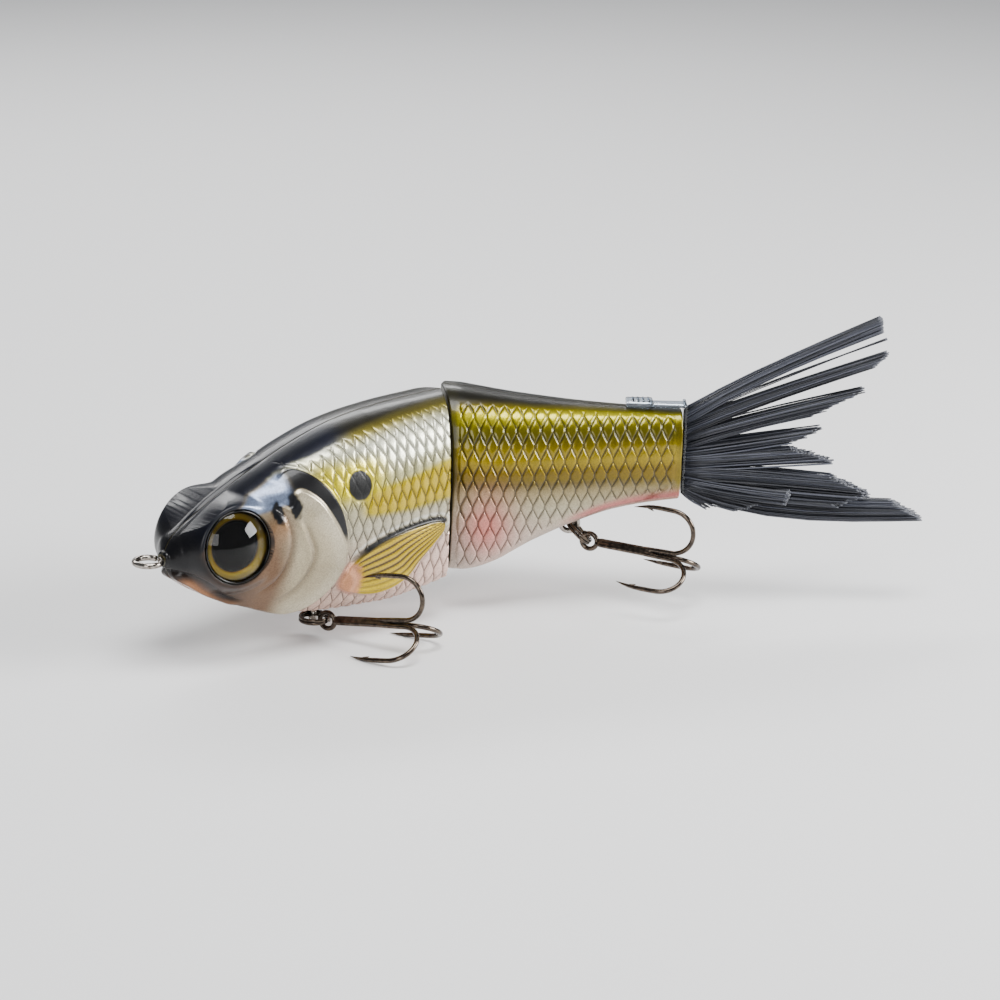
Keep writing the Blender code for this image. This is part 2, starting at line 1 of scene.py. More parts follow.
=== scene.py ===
"""Looks of the jointed glide swimbait: scaled, painted shells, eyes, wire, hooks and bristles.

Sizes are in millimetres in the lure's own frame, as in its CAD: the body joint's pin is the
Z axis, the front section lies along -X, and the rear section's frame is turned about the pin.
"""
import json
import math
import random

import bmesh
import bpy
import numpy as np
from mathutils import Matrix, Vector


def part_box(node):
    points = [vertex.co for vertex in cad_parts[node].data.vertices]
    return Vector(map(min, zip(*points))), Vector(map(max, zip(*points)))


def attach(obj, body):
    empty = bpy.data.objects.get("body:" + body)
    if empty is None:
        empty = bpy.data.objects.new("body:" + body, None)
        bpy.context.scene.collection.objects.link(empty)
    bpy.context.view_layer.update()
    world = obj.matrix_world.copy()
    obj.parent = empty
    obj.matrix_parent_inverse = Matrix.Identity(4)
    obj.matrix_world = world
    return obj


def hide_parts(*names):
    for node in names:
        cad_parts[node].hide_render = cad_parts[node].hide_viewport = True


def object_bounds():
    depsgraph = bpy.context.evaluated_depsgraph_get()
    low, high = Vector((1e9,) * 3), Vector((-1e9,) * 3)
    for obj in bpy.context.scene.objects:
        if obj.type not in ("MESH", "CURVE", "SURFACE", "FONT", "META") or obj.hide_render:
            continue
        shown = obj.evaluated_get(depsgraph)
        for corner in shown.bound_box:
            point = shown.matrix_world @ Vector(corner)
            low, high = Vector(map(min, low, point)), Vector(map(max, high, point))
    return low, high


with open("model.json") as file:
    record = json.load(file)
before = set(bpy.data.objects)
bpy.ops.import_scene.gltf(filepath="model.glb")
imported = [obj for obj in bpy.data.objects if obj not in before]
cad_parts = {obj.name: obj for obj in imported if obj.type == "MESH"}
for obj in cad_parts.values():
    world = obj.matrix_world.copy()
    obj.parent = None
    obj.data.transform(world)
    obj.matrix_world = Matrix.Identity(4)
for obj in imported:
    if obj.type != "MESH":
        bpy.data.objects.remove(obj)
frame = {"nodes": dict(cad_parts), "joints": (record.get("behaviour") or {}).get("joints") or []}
CAD_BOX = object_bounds()
MM = 0.001
UP = Vector((0, 0, 1))

# ---------------------------------------------------------------- frames of the two sections
JOINTS = {joint["name"]: joint for joint in frame["joints"]}
HINGE = JOINTS["body_hinge"]["pos_m"]
PIN_FOOT = 4.0              # height of the pin's lower end in the lure's frame
FRONT_FRAME = Matrix.Translation((HINGE[0], HINGE[1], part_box("hinge_pin")[0][2] - PIN_FOOT * MM))
REST_BEND = math.radians(40.0)
REAR_FRAME = FRONT_FRAME @ Matrix.Rotation(-REST_BEND, 4, "Z")

# ---------------------------------------------------------------- the body's outline
SEAM = 0.05                 # each half stops this far short of the midplane
# each section ends at the joint in a wedge: slope, apex, and where along the body it starts
FRONT_V_SLOPE = 0.633
FRONT_APEX_X = -2.2
FRONT_WEDGE = (-18.0, -7.9)
REAR_V_SLOPE = 0.231
REAR_WEDGE = (9.0, -1.56)
REAR_WEDGE_SHIFT = 0.22
TAIL_LEAN = (31.0, 33.9, 0.35)      # from x, to x, and how far the tail's end is drawn in
# x, top, bottom, half width, flat belly as a share of the half width, chamfer height
FRONT_STATIONS = (
    (-52.3, 12.6, 10.2, 1.2, .50, .3),
    (-51.3, 14.2, 8.9, 2.9, .50, .5),
    (-49.0, 15.9, 7.3, 4.4, .48, .8),
    (-45.6, 17.7, 5.5, 5.6, .46, 1.0),
    (-41.0, 19.9, 3.4, 6.9, .46, 1.2),
    (-35.0, 22.6, 1.3, 8.0, .50, 1.4),
    (-29.5, 24.6, 0.45, 8.7, .58, 1.5),
    (-23.0, 26.3, 0.2, 9.1, .68, 1.5),
    (-17.9, 27.0, 0.2, 9.2, .76, 1.5),
    (-13.0, 27.4, 0.7, 9.15, .80, 1.5),
    (-7.9, 27.5, 1.6, 9.0, .86, 1.5),
)
REAR_STATIONS = (
    (-1.56, 27.8, 1.7, 8.3, .86, 1.5),
    (0.4, 27.7, 1.7, 8.5, .86, 1.5),
    (2.5, 27.4, 1.9, 8.6, .84, 1.5),
    (7.0, 26.7, 3.1, 8.4, .78, 1.3),
    (12.5, 26.0, 5.8, 7.6, .70, 1.0),
    (18.5, 25.4, 8.3, 6.5, .64, .8),
    (24.5, 25.0, 10.2, 5.4, .60, .7),
    (30.5, 24.7, 11.2, 4.4, .58, .6),
    (33.9, 24.6, 11.5, 3.8, .58, .6),
)
FRONT_REF_Z = 15.0          # flank height from which scale rows are counted
REAR_REF_Z = 16.0
FRONT_GRID = (325, 278)     # rings along each section, and points round each half
REAR_GRID = (275, 262)
# round-over of each section's first and last rim, and how finely it is stepped
FRONT_RIMS = (0.5, 0.25)
REAR_RIMS = (0.25, 0.35)
RIM_STEPS = 6
RIM_BULGE = 0.9
RIM_LIMIT = 0.9             # most of the way to its middle that a rim may draw in
SEAM_FADE = 0.4             # width over which the relief dies down towards the seam
SEAM_RELIEF = 0.25          # share of it that is left at the seam

# cross-section: sample counts, where the flank is widest, and how square its upper curve is
BELLY_SAMPLES = 20
CHAMFER_SAMPLES = 8
ARC_SAMPLES = 60
FINE_SAMPLES = 400
SOFTEN = 7                  # samples either side over which corners are rounded
SHOULDER = 0.13             # share of the half width that the belly's chamfer spans
SHOULDER_LIMIT = 0.97
WIDEST = 0.46               # share of the height at which the flank is widest
SQUARENESS = 0.8

# ---------------------------------------------------------------- eyes
EYE_CENTRE = Vector((-44.2, 6.05, 13.2))
EYE_NORMAL = Vector((-0.14, 0.98, 0.12)).normalized()
EYE_RADIUS = 5.15
POCKET_RADIUS = EYE_RADIUS + 0.12
POCKET_FLOOR = -1.15
LID_RISE = 0.18
LID_SPREAD = (2.2, 0.4)     # the lid runs into the head between these distances past the eye
EYE_STEPS = 72

# ---------------------------------------------------------------- scales
SCALE_PITCH = 1.78
SCALE_TALL = 4.62
NET_LEAN = 0.93             # narrows distances measured along the body to those across an edge
NET_REST = 0.12             # share of a row over which a scale's side runs straight up
REAR_PHASE = 0.35           # shift of the rear section's net along the body
FRONT_NET_BOW = 0.004       # bends the front section's rows back above and below the flank
GROOVE_DEPTH = 0.09
GROOVE_WIDTH = 0.15
SCALE_CROWN = (0.1, 0.6)    # distances from the net between which a scale rises
FRONT_SCALE_CROWN = 0.05
REAR_SCALE_CROWN = 0.06
SCALE_TILT = 0.05           # rise from a scale's front to its back
MIDLINE_GROOVE = (0.03, 0.12)       # depth and width of the parting line

# ---------------------------------------------------------------- paint
RICHNESS = 1.32             # saturation of the pigment
DEPTH = 0.72                # darkness of the pigment
GREY_WEIGHTS = (0.21, 0.72, 0.07)
PEARL = 0.68                # metallic share of light paint
# painted surfaces brighter than the second sum of channels are wholly pearl
PEARL_FROM = (0.03, 0.3)


def srgb(red, green, blue):
    c = np.array([red, green, blue], float) / 255
    return np.where(c <= 0.04045, c / 12.92, ((c + 0.055) / 1.055) ** 2.4)


# height above the belly line and colour of each section's flank
FRONT_FLANK = [(0, srgb(206, 178, 166)), (4, srgb(214, 190, 178)), (8, srgb(206, 190, 174)),
               (12, srgb(188, 182, 164)), (15, srgb(176, 170, 146)), (19, srgb(196, 192, 154)),
               (22, srgb(216, 216, 198)), (24.5, srgb(232, 232, 214))]
# on the rear flank, the narrow light stop at 24.5 mm is a painted highlight along the shoulder
REAR_FLANK = [(2, srgb(206, 194, 184)), (7, srgb(204, 190, 178)), (11, srgb(190, 182, 160)),
              (13.3, srgb(164, 152, 122)), (15.0, srgb(112, 98, 62)), (16.6, srgb(118, 100, 8)),
              (18.4, srgb(158, 140, 0)), (20.2, srgb(138, 124, 2)), (21.6, srgb(92, 86, 16)),
              (23.2, srgb(112, 106, 30)), (24.5, srgb(196, 188, 80)), (25.3, srgb(150, 140, 30)),
              (26.2, srgb(80, 72, 4))]
PALE_GOLD = srgb(222, 208, 90)
GOLD = srgb(182, 162, 0)
DUSK = srgb(150, 146, 112)
OLIVE = srgb(146, 132, 30)
DARK_BACK = srgb(18, 15, 4)
CHEEK = srgb(180, 170, 148)
CHEEK_BROWN = srgb(104, 76, 58)
CHEEK_LIGHT = srgb(168, 134, 106)
# painted highlight along the gill plate's upper edge
PLATE_EDGE_HIGHLIGHT = srgb(214, 206, 188)
FOLD_BROWN = srgb(92, 68, 52)
FOLD_OLIVE = srgb(112, 98, 80)
JAW = srgb(40, 28, 22)
# painted copper highlight on the lower lip
LIP_HIGHLIGHT = srgb(176, 128, 96)
MOUTH_DARK = srgb(20, 13, 10)
CRESCENT = srgb(6, 6, 8)
SPARKLE = srgb(128, 138, 158)
BLOT = srgb(7, 8, 12)
NAVY = srgb(10, 14, 30)
NOSE = srgb(8, 8, 11)
FIN_GOLD = srgb(192, 168, 0)
FIN_RAY = srgb(44, 28, 0)
FIN_FOOT = srgb(220, 196, 110)
FIN_ROOT = srgb(204, 152, 132)
FIN_PEARL = srgb(232, 232, 222)
# black line along the fin's top edge: partly its paint, partly painted shadow
FIN_EDGE_AND_SHADOW = srgb(5, 5, 4)
SPOT_BLACK = srgb(5, 5, 5)
BELLY_WHITE = srgb(228, 200, 190)
EYELID = srgb(16, 13, 12)
REAR_LIFT = srgb(132, 112, 30)
REAR_PINK = srgb(208, 132, 126)
REAR_EDGE_PINK = srgb(196, 120, 120)
REAR_BACK = srgb(14, 12, 2)
REAR_FRONT_EDGE = srgb(28, 26, 6)
REAR_END = srgb(120, 108, 20)
BRISTLE_TONE = srgb(48, 50, 58)
BRISTLE_TIP = srgb(84, 86, 93)


# ---------------------------------------------------------------- curves and sections
def monotone(xs, ys, x):
    """Monotone cubic through the stations, for an array of x."""
    xs, ys = np.array(xs, float), np.array(ys, float)
    gap = np.diff(xs)
    rise = np.diff(ys) / gap
    slope = np.zeros(len(xs))
    slope[0], slope[-1] = rise[0], rise[-1]
    for i in range(1, len(xs) - 1):
        if rise[i - 1] * rise[i] > 0:
            w1, w2 = 2 * gap[i] + gap[i - 1], gap[i] + 2 * gap[i - 1]
            slope[i] = (w1 + w2) / (w1 / rise[i - 1] + w2 / rise[i])
    i = np.clip(np.searchsorted(xs, x, side="right") - 1, 0, len(gap) - 1)
    t = np.clip((x - xs[i]) / gap[i], 0, 1)
    return ((2 * t ** 3 - 3 * t ** 2 + 1) * ys[i] + (t ** 3 - 2 * t ** 2 + t) * gap[i] * slope[i]
            + (3 * t ** 2 - 2 * t ** 3) * ys[i + 1] + (t ** 3 - t ** 2) * gap[i] * slope[i + 1])


def half_section(stations, x, count, ref_z):
    """Half cross-section resampled evenly: y, z and arc length counted from ref_z upwards."""
    columns = [[s[c] for s in stations] for c in range(6)]
    top, bottom, width, flat, chamfer = [float(monotone(columns[0], columns[c], x)) for c in range(1, 6)]
    shoulder = min(flat + SHOULDER, SHOULDER_LIMIT)
    middle = bottom + WIDEST * (top - bottom)
    t = np.linspace(0, 1, ARC_SAMPLES)
    chamfer_t = np.linspace(0, 1, CHAMFER_SAMPLES)[1:]
    flat_y = np.linspace(SEAM, flat * width, BELLY_SAMPLES)
    ramp_y = flat * width + (shoulder - flat) * width * chamfer_t
    low_y = width * (shoulder + (1 - shoulder) * np.sin(t * math.pi / 2))[1:]
    low_z = (bottom + chamfer + (middle - bottom - chamfer) * t)[1:]
    angle = (t * math.pi / 2)[1:]
    high_y = width * np.cos(angle).clip(0) ** SQUARENESS
    high_z = middle + (top - middle) * np.sin(angle) ** SQUARENESS
    y = np.concatenate([flat_y, ramp_y, low_y, high_y])
    z = np.concatenate([np.full(BELLY_SAMPLES, bottom), bottom + chamfer * chamfer_t, low_z, high_z])
    y, z = resample(y, z, FINE_SAMPLES)
    kernel = np.hanning(2 * SOFTEN + 1)
    kernel /= kernel.sum()
    pad_y = np.concatenate([2 * y[0] - y[SOFTEN:0:-1], y, 2 * y[-1] - y[-2:-SOFTEN - 2:-1]])
    pad_z = np.concatenate([z[SOFTEN:0:-1], z, z[-2:-SOFTEN - 2:-1]])
    y, z = resample(np.convolve(pad_y, kernel, "valid"), np.convolve(pad_z, kernel, "valid"), count)
    y = np.maximum(y, SEAM)
    arc = np.concatenate([[0], np.cumsum(np.hypot(np.diff(y), np.diff(z)))])
    above = arc - np.interp(ref_z, z, arc) if z[0] < ref_z < z[-1] else arc + (z[0] - ref_z)
    return y, z, above


def resample(y, z, count):
    arc = np.concatenate([[0], np.cumsum(np.hypot(np.diff(y), np.diff(z)))])
    at = np.linspace(0, arc[-1], count)
    return np.interp(at, arc, y), np.interp(at, arc, z)


# ---------------------------------------------------------------- small field helpers
def step(edge0, edge1, value):
    t = np.clip((value - edge0) / (edge1 - edge0), 0, 1)
    return t * t * (3 - 2 * t)


def bump(distance, width):
    return np.exp(-(distance / width) ** 2)


def spline(points, closed=False, per=8):
    """Catmull-Rom curve through given points."""
    pts = np.array(points, float)
    count = len(pts)
    out = []
    spans = count if closed else count - 1
    for i in range(spans):
        if closed:
            p0, p1, p2, p3 = [pts[(i + k) % count] for k in (-1, 0, 1, 2)]
        else:
            p0, p1, p2, p3 = [pts[min(max(i + k, 0), count - 1)] for k in (-1, 0, 1, 2)]
        for t in np.arange(per) / per:
            out.append(0.5 * (2 * p1 + (p2 - p0) * t + (2 * p0 - 5 * p1 + 4 * p2 - p3) * t * t
                              + (3 * p1 - p0 - 3 * p2 + p3) * t ** 3))
    if not closed:
        out.append(pts[-1])
    return np.array(out)


def curve_distance(x, z, line, closed=False):
    """Distance to a polyline, and the share of its length at the nearest point."""
    best = np.full(x.shape, 1e9)
    along = np.zeros(x.shape)
    count = len(line) if closed else len(line) - 1
    for i in range(count):
        ax, az = line[i]
        bx, bz = line[(i + 1) % len(line)]
        dx, dz = bx - ax, bz - az
        t = np.clip(((x - ax) * dx + (z - az) * dz) / (dx * dx + dz * dz + 1e-12), 0, 1)
        d = np.hypot(x - ax - t * dx, z - az - t * dz)
        nearer = d < best
        best = np.where(nearer, d, best)
        along = np.where(nearer, (i + t) / count, along)
    return best, along


def inside_distance(x, z, outline):
    """Signed distance to a closed outline, positive inside."""
    inside = np.zeros(x.shape, bool)
    count = len(outline)
    for i in range(count):
        ax, az = outline[i]
        bx, bz = outline[(i + 1) % count]
        if az == bz:
            continue
        crosses = ((az > z) != (bz > z)) & (x < ax + (z - az) * (bx - ax) / (bz - az))
        inside ^= crosses
    distance, _ = curve_distance(x, z, outline, closed=True)
    return np.where(inside, distance, -distance)


def wobble(x, z, size, seed):
    """Smooth seeded noise between -1 and 1, a few sines at odd angles."""
    rng = np.random.default_rng(seed)
    total = np.zeros(x.shape)
    for _ in range(5):
        angle, phase = rng.uniform(0, math.tau, 2)
        length = size * rng.uniform(0.6, 1.6)
        total += np.sin((x * math.cos(angle) + z * math.sin(angle)) * math.tau / length + phase)
    return total / 5


def ramp(value, stops):
    """Colour between given stops of (value, colour)."""
    at = [s[0] for s in stops]
    return np.stack([np.interp(value, at, [s[1][k] for s in stops]) for k in range(3)], -1)


def mix(base, colour, amount):
    return base + (np.asarray(colour) - base) * np.asarray(amount)[..., None]


def scale_net(along, up, phase=0.0):
    """Distance to the net of scale edges, in mm: rows of tall cells, half a pitch apart."""
    t = np.mod(up / SCALE_TALL, 1.0)
    zig = np.clip((1 - np.abs(2 * t - 1) - NET_REST) / (1 - 2 * NET_REST), 0, 1)
    a = (along + phase) / SCALE_PITCH
    first = a - zig / 2
    second = a + zig / 2
    d1 = np.abs(first - np.round(first))
    d2 = np.abs(second - np.round(second))
    return np.minimum(d1, d2) * SCALE_PITCH * NET_LEAN, np.mod(first, 1.0)


# ---------------------------------------------------------------- front section: outlines
GILL_OUTLINE = spline([
    (-37.3, 26.0), (-37.2, 21.2), (-36.4, 21.0), (-35.3, 21.7), (-33.6, 22.2), (-31.6, 21.5), (-29.5, 19.5),
    (-28.0, 16.9), (-27.1, 14.2), (-26.6, 10.6), (-27.0, 8.0), (-28.3, 4.9), (-30.8, 2.2), (-34.0, 0.6),
    (-39.0, -1.5), (-60.0, -3.0), (-60.0, 28.0)], closed=True)
PLATE_EDGE = spline([
    (-39.6, 16.6), (-37.6, 18.1), (-36.3, 17.7), (-35.6, 17.9), (-34.6, 19.4), (-33.2, 19.5),
    (-31.2, 18.0), (-29.6, 15.7), (-28.2, 13.2), (-27.4, 11.2), (-27.0, 8.0), (-28.3, 4.9),
    (-30.8, 2.2), (-34.0, 1.0), (-38.5, 2.2), (-43.0, 3.6), (-47.0, 5.6), (-50.5, 8.6),
    (-47.0, 11.0), (-42.0, 12.0)], closed=True)
# the cheek's two folds from the top down, and the same lines as z and x from the bottom up
FIRST_FOLD = spline([(-38.3, 17.6), (-36.9, 16.4), (-36.3, 13.4), (-36.9, 10.2), (-38.2, 7.4), (-40.4, 5.3)])
FIRST_LINE = ([3, 5.4, 7.4, 10.2, 13.4, 16.4, 17.6], [-42, -40.4, -38.2, -36.9, -36.3, -36.9, -38.3])
SECOND_FOLD = spline([(-34.9, 16.6), (-33.5, 13.4), (-32.7, 11.0), (-33.2, 8.2), (-35.0, 5.4), (-37.4, 3.4)])
SECOND_LINE = ([3.4, 5.4, 8.2, 11.0, 13.4, 16.6], [-37.4, -35.0, -33.2, -32.7, -33.5, -34.9])
MOUTH_LINE = ([-52.6, -50.9, -49.1, -47.0, -44.3, -41.4], [9.9, 9.6, 8.7, 7.2, 5.4, 4.3])
MOUTH = spline(list(zip(*MOUTH_LINE)))
FIN_OUTLINE = spline([
    (-26.2, 7.3), (-24.4, 8.7), (-21.4, 9.9), (-17.9, 10.7), (-13.9, 11.2), (-10.3, 11.2), (-8.7, 10.6),
    (-8.9, 9.3), (-11.1, 7.3), (-13.3, 5.5), (-15.0, 3.7), (-17.5, 2.5), (-20.4, 2.0), (-23.0, 2.3),
    (-25.8, 3.3), (-27.3, 4.8)], closed=True)
FIN_TOP = spline([(-26.2, 7.4), (-24.4, 8.8), (-21.4, 10.1), (-17.9, 10.9), (-13.9, 11.4), (-10.3, 11.4),
                  (-8.7, 10.9)])
FIN_LOW = spline([(-27.3, 4.8), (-25.8, 3.3), (-23.0, 2.3), (-20.4, 2.0), (-17.5, 2.5), (-15.0, 3.7),
                  (-13.3, 5.5), (-11.1, 7.3), (-8.9, 9.4), (-8.5, 10.6)])
FIN_BASE = (-27.6, 4.6)
FIN_RAYS = 8
SPOT = (-24.2, 18.9)
SPOT_ROUNDNESS = 0.95
# lines along the body, as x and z: the dark back, the gold band, the crown and the sparkle patch's foot
FRONT_BACK = ([-31, -25, -20, -14, -7], [22.6, 24.5, 25.4, 26.1, 26.5])
BAND_X = [-24, -15, -8]
BAND_LOW = (BAND_X, [14.5, 14.0, 14.4])
BAND_HIGH = (BAND_X, [17.2, 18.4, 19.6])
CROWN = ([-53, -50, -46, -42, -39, -36, -33, -30, -27, -24],
         [10.6, 12.8, 16.5, 18.6, 19.9, 21.5, 22.6, 23.3, 24.2, 24.8])
PATCH_FOOT = ([-46.0, -43.5, -39.6, -37.6, -35.5, -34.0], [15.0, 16.6, 17.2, 17.6, 18.1, 19.2])
# centre of each of the two blots on the gill plate, and how its x and z are weighed
BLOTS = ((-37.9, 16.9, 1.2, 0.66), (-35.2, 17.6, 1.1, 0.60))
REAR_TOP_LINE = ([0, 5, 12, 25, 32], [26.2, 25.9, 25.1, 24.3, 23.9])
REAR_MARGIN = ([0, 8, 16, 30], [0.2, 0.9, 1.5, 1.6])


def eye_plane(p, side):
    """Height over the eye's plane, distance from its centre, and the normal, for points of one side."""
    normal = np.array([EYE_NORMAL.x, side * EYE_NORMAL.y, EYE_NORMAL.z])
    centre = np.array([EYE_CENTRE.x, side * EYE_CENTRE.y, EYE_CENTRE.z])
    offset = p - centre
    height = offset @ normal
    radius = np.sqrt(np.maximum((offset ** 2).sum(-1) - height ** 2, 0))
    return height, radius, normal



# relief, in mm: how high or deep each feature is, and how wide
GILL_RISE = 0.42
GILL_GROOVE = (0.16, 0.18, 0.22)        # depth, distance outside the plate, width
PLATE_RISE = 0.26
FIRST_FOLD_DENT, FIRST_FOLD_SWELL = (0.30, 0.55), (0.22, 0.9, 0.8)
SECOND_FOLD_DENT, SECOND_FOLD_SWELL = (0.16, 0.45), (0.14, 0.8, 0.7)
MOUTH_CUT, LIP_SWELL = (0.42, 0.26), (0.30, 0.85, 0.6)
FIN_RISE, FIN_RAY_RISE = 0.40, 0.07
FIN_EDGE_RISE, FIN_ROOT_RISE = (0.20, 0.35), 0.22
FIN_GROOVE = (0.12, 0.2, 0.16)


def scale_relief(net, cell, crown):
    """Height of the scales: grooves along the net, crowned and tilted skin between them."""
    return (-GROOVE_DEPTH * bump(net, GROOVE_WIDTH) + crown * step(*SCALE_CROWN, net)
            + SCALE_TILT * cell)


def parting_line(y):
    depth, width = MIDLINE_GROOVE
    return depth * bump(y - SEAM, width)


def pearl_and_net(pearl, along, above, scaled_skin):
    """The mesh's fields that the paint reads: pearl share, net coordinates and scaled share."""
    return np.stack([pearl, along / SCALE_PITCH, above / SCALE_TALL, scaled_skin], -1)


class Coat:
    """Paint laid down layer by layer."""

    def __init__(self, rgb):
        self.rgb = rgb

    def lay(self, colour, amount):
        self.rgb = mix(self.rgb, colour, amount)


def front_fields(x, y, z, above):
    """Relief height and paint of the front section at points of either half."""
    gill = inside_distance(x, z, GILL_OUTLINE)
    plate = inside_distance(x, z, PLATE_EDGE)
    back = np.interp(x, *FRONT_BACK)
    fold1, along1 = curve_distance(x, z, FIRST_FOLD)
    fold2, along2 = curve_distance(x, z, SECOND_FOLD)
    mouth, along_mouth = curve_distance(x, z, MOUTH)
    fin = inside_distance(x, z, FIN_OUTLINE)
    fin_top, along_top = curve_distance(x, z, FIN_TOP)
    along = x + FRONT_NET_BOW * (z - FRONT_REF_Z) ** 2
    net, cell = scale_net(along, above)
    spot = np.hypot(x - SPOT[0], (z - SPOT[1]) * SPOT_ROUNDNESS)
    on_scales = step(-0.1, -0.5, gill) * step(-0.1, -0.6, fin) * step(0.35, -0.35, z - back)
    on_scales = on_scales * step(0.9, 2.2, y) * step(-35.6, -33.4, x) * (1 - 0.95 * step(2.5, 2.1, spot))

    # head: gill plate, cheek folds and mouth; the crown swells without an edge
    height = on_scales * scale_relief(net, cell, FRONT_SCALE_CROWN)
    crest = np.maximum(step(3.9, 2.2, y), step(-34.2, -37.0, x) * step(19.0, 20.8, z))
    raised = (1 - crest) * step(-0.08, 0.38, gill) + crest * step(-34.0, -41.0, x)
    height = height + GILL_RISE * raised * step(-50, -44, x)
    depth, out, width = GILL_GROOVE
    height = height - depth * (1 - crest) * bump(gill + out, width) * step(-36, -34, x)
    height = height + PLATE_RISE * step(-0.05, 0.5, plate) * step(-40, -36, x)
    before1 = np.sign(x - np.interp(z, *FIRST_LINE))
    fade1 = step(0.0, 0.15, along1) * step(1.0, 0.75, along1)
    depth, width = FIRST_FOLD_DENT
    height = height - depth * fade1 * bump(fold1, width) * (0.7 + 0.3 * before1)
    rise, out, width = FIRST_FOLD_SWELL
    height = height + rise * fade1 * bump(fold1 - out, width) * (before1 < 0)
    before2 = np.sign(x - np.interp(z, *SECOND_LINE))
    fade2 = step(0.0, 0.2, along2) * step(1.0, 0.8, along2)
    depth, width = SECOND_FOLD_DENT
    height = height - depth * fade2 * bump(fold2, width)
    rise, out, width = SECOND_FOLD_SWELL
    height = height + rise * fade2 * bump(fold2 - out, width) * (before2 < 0)
    below_mouth = z < np.interp(x, *MOUTH_LINE)
    mouth_fade = step(1.0, 0.86, along_mouth)
    depth, width = MOUTH_CUT
    height = height - depth * mouth_fade * bump(mouth, width)
    rise, out, width = LIP_SWELL
    height = height + rise * mouth_fade * bump(mouth - out, width) * below_mouth

    # pectoral fin: raised, thick at its leading edge, with curved rays
    reach = np.hypot(x - FIN_BASE[0], (z - FIN_BASE[1]))
    fin_low, _ = curve_distance(x, z, FIN_LOW)
    lane = fin_top / (fin_top + fin_low + 1e-6)
    rays = np.cos(math.tau * FIN_RAYS * lane)
    on_rays = step(3.2, 4.6, reach) * step(0.1, 0.5, fin)
    height = height + step(-0.04, 0.26, fin) * (FIN_RISE + FIN_RAY_RISE * rays * on_rays)
    rise, width = FIN_EDGE_RISE
    height = height + rise * bump(fin_top, width) * step(0.02, 0.1, along_top)
    height = height + FIN_ROOT_RISE * step(3.4, 2.2, reach) * step(-0.4, 0.4, fin)
    depth, out, width = FIN_GROOVE
    height = height - depth * bump(fin + out, width) * step(-30, -27, x)
    height = height - parting_line(y)

    # flank paint, from the belly up
    low, high = np.interp(x, *BAND_LOW), np.interp(x, *BAND_HIGH)
    coat = Coat(ramp(z, FRONT_FLANK))
    pale = step(-34, -29, x) * step(-17, -23, x) * step(15.5, 18.5, z) * step(23.6, 21.0, z)
    coat.lay(PALE_GOLD, 0.8 * pale)
    gold = step(low - 0.9, low + 0.7, z) * step(high + 1.0, high - 0.7, z)
    coat.lay(GOLD, 0.97 * gold * step(-25.4, -21.8, x))
    dusk = step(high + 0.2, high + 1.2, z) * step(high + 3.0, high + 1.6, z)
    coat.lay(DUSK, 0.45 * dusk * step(-21, -16, x))
    coat.lay(OLIVE, 0.85 * step(back - 1.6, back + 0.2, z) * step(-28, -22, x))
    coat.lay(DARK_BACK, step(back - 0.5, back + 0.9, z) * step(-34, -26, x))

    # head paint: pearl and copper cheek, dark jaw, black crescent, sparkle patch and navy crown, with painted
    # highlights on the gill plate's upper edge and on the lower lip
    head = step(-0.06, 0.22, gill) * step(-26.4, -27.0, x)
    crown = np.interp(x, *CROWN)
    coat.lay(CHEEK, head)
    coat.lay(CHEEK_BROWN, 0.9 * head * step(-35.2, -39.0, x + 0.10 * (z - 10)) * step(18.5, 14.5, z))
    coat.lay(CHEEK_LIGHT, 0.75 * head * bump(np.hypot(x + 37.6, (z - 15.2) * 0.8), 1.5))
    coat.lay(FOLD_OLIVE, 0.55 * head * fade2 * bump(fold2, 0.7))
    coat.lay(FOLD_BROWN, 0.6 * head * fade1 * bump(fold1, 0.8))
    # painted highlight: lighter band just inside the gill plate's upper edge
    coat.lay(PLATE_EDGE_HIGHLIGHT, 0.55 * head * bump(plate - 1.0, 1.5) * step(-38, -33, x))
    coat.lay(JAW, 0.95 * step(-38.8, -45.0, x) * step(14.5, 9.8, z))
    # painted highlight: copper strip just below the mouth line
    lip_highlight = mouth_fade * below_mouth * bump(mouth - 0.95, 0.55)
    coat.lay(LIP_HIGHLIGHT, 0.8 * lip_highlight * step(-51.5, -49.5, x))
    coat.lay(MOUTH_DARK, 0.95 * mouth_fade * bump(mouth, 0.3))
    crescent = step(-0.06, 0.2, gill) * step(0.12, -0.2, plate) * step(-37.0, -36.2, x) * step(10.4, 12.8, z)
    coat.lay(CRESCENT, crescent * (1 - crest))
    foot = np.interp(x, *PATCH_FOOT)
    patch = step(-48.2, -45.6, x) * step(-34.6, -35.8, x) * step(foot - 0.25, foot + 0.25, z)
    sparkle = 0.5 + 0.5 * wobble(x, z, 0.6, 8)
    under_crown = step(crown + 0.2, crown - 0.2, z)
    coat.lay(SPARKLE * (0.75 + 0.5 * sparkle[..., None]), patch * under_crown)
    blot = np.minimum(*[np.hypot((x - bx) * wide, (z - bz) * tall) for bx, bz, wide, tall in BLOTS])
    coat.lay(BLOT, step(1.2, 0.8, blot + 0.25 * wobble(x, z, 1.1, 9)) * step(15.0, 15.6, z))
    fringe = 0.05 * wobble(x, z, 1.3, 11)
    coat.lay(NAVY, step(crown - 0.25, crown + 0.3, z + fringe) * step(-22, -27, x))
    coat.lay(NAVY * 0.5, step(5.0, 2.5, y) * step(-22, -30, x) * step(-0.3, 0.6, z - crown))
    coat.lay(NOSE, step(-46.6, -50.4, x + 0.25 * (z - 12)) * step(8.4, 10.8, z))
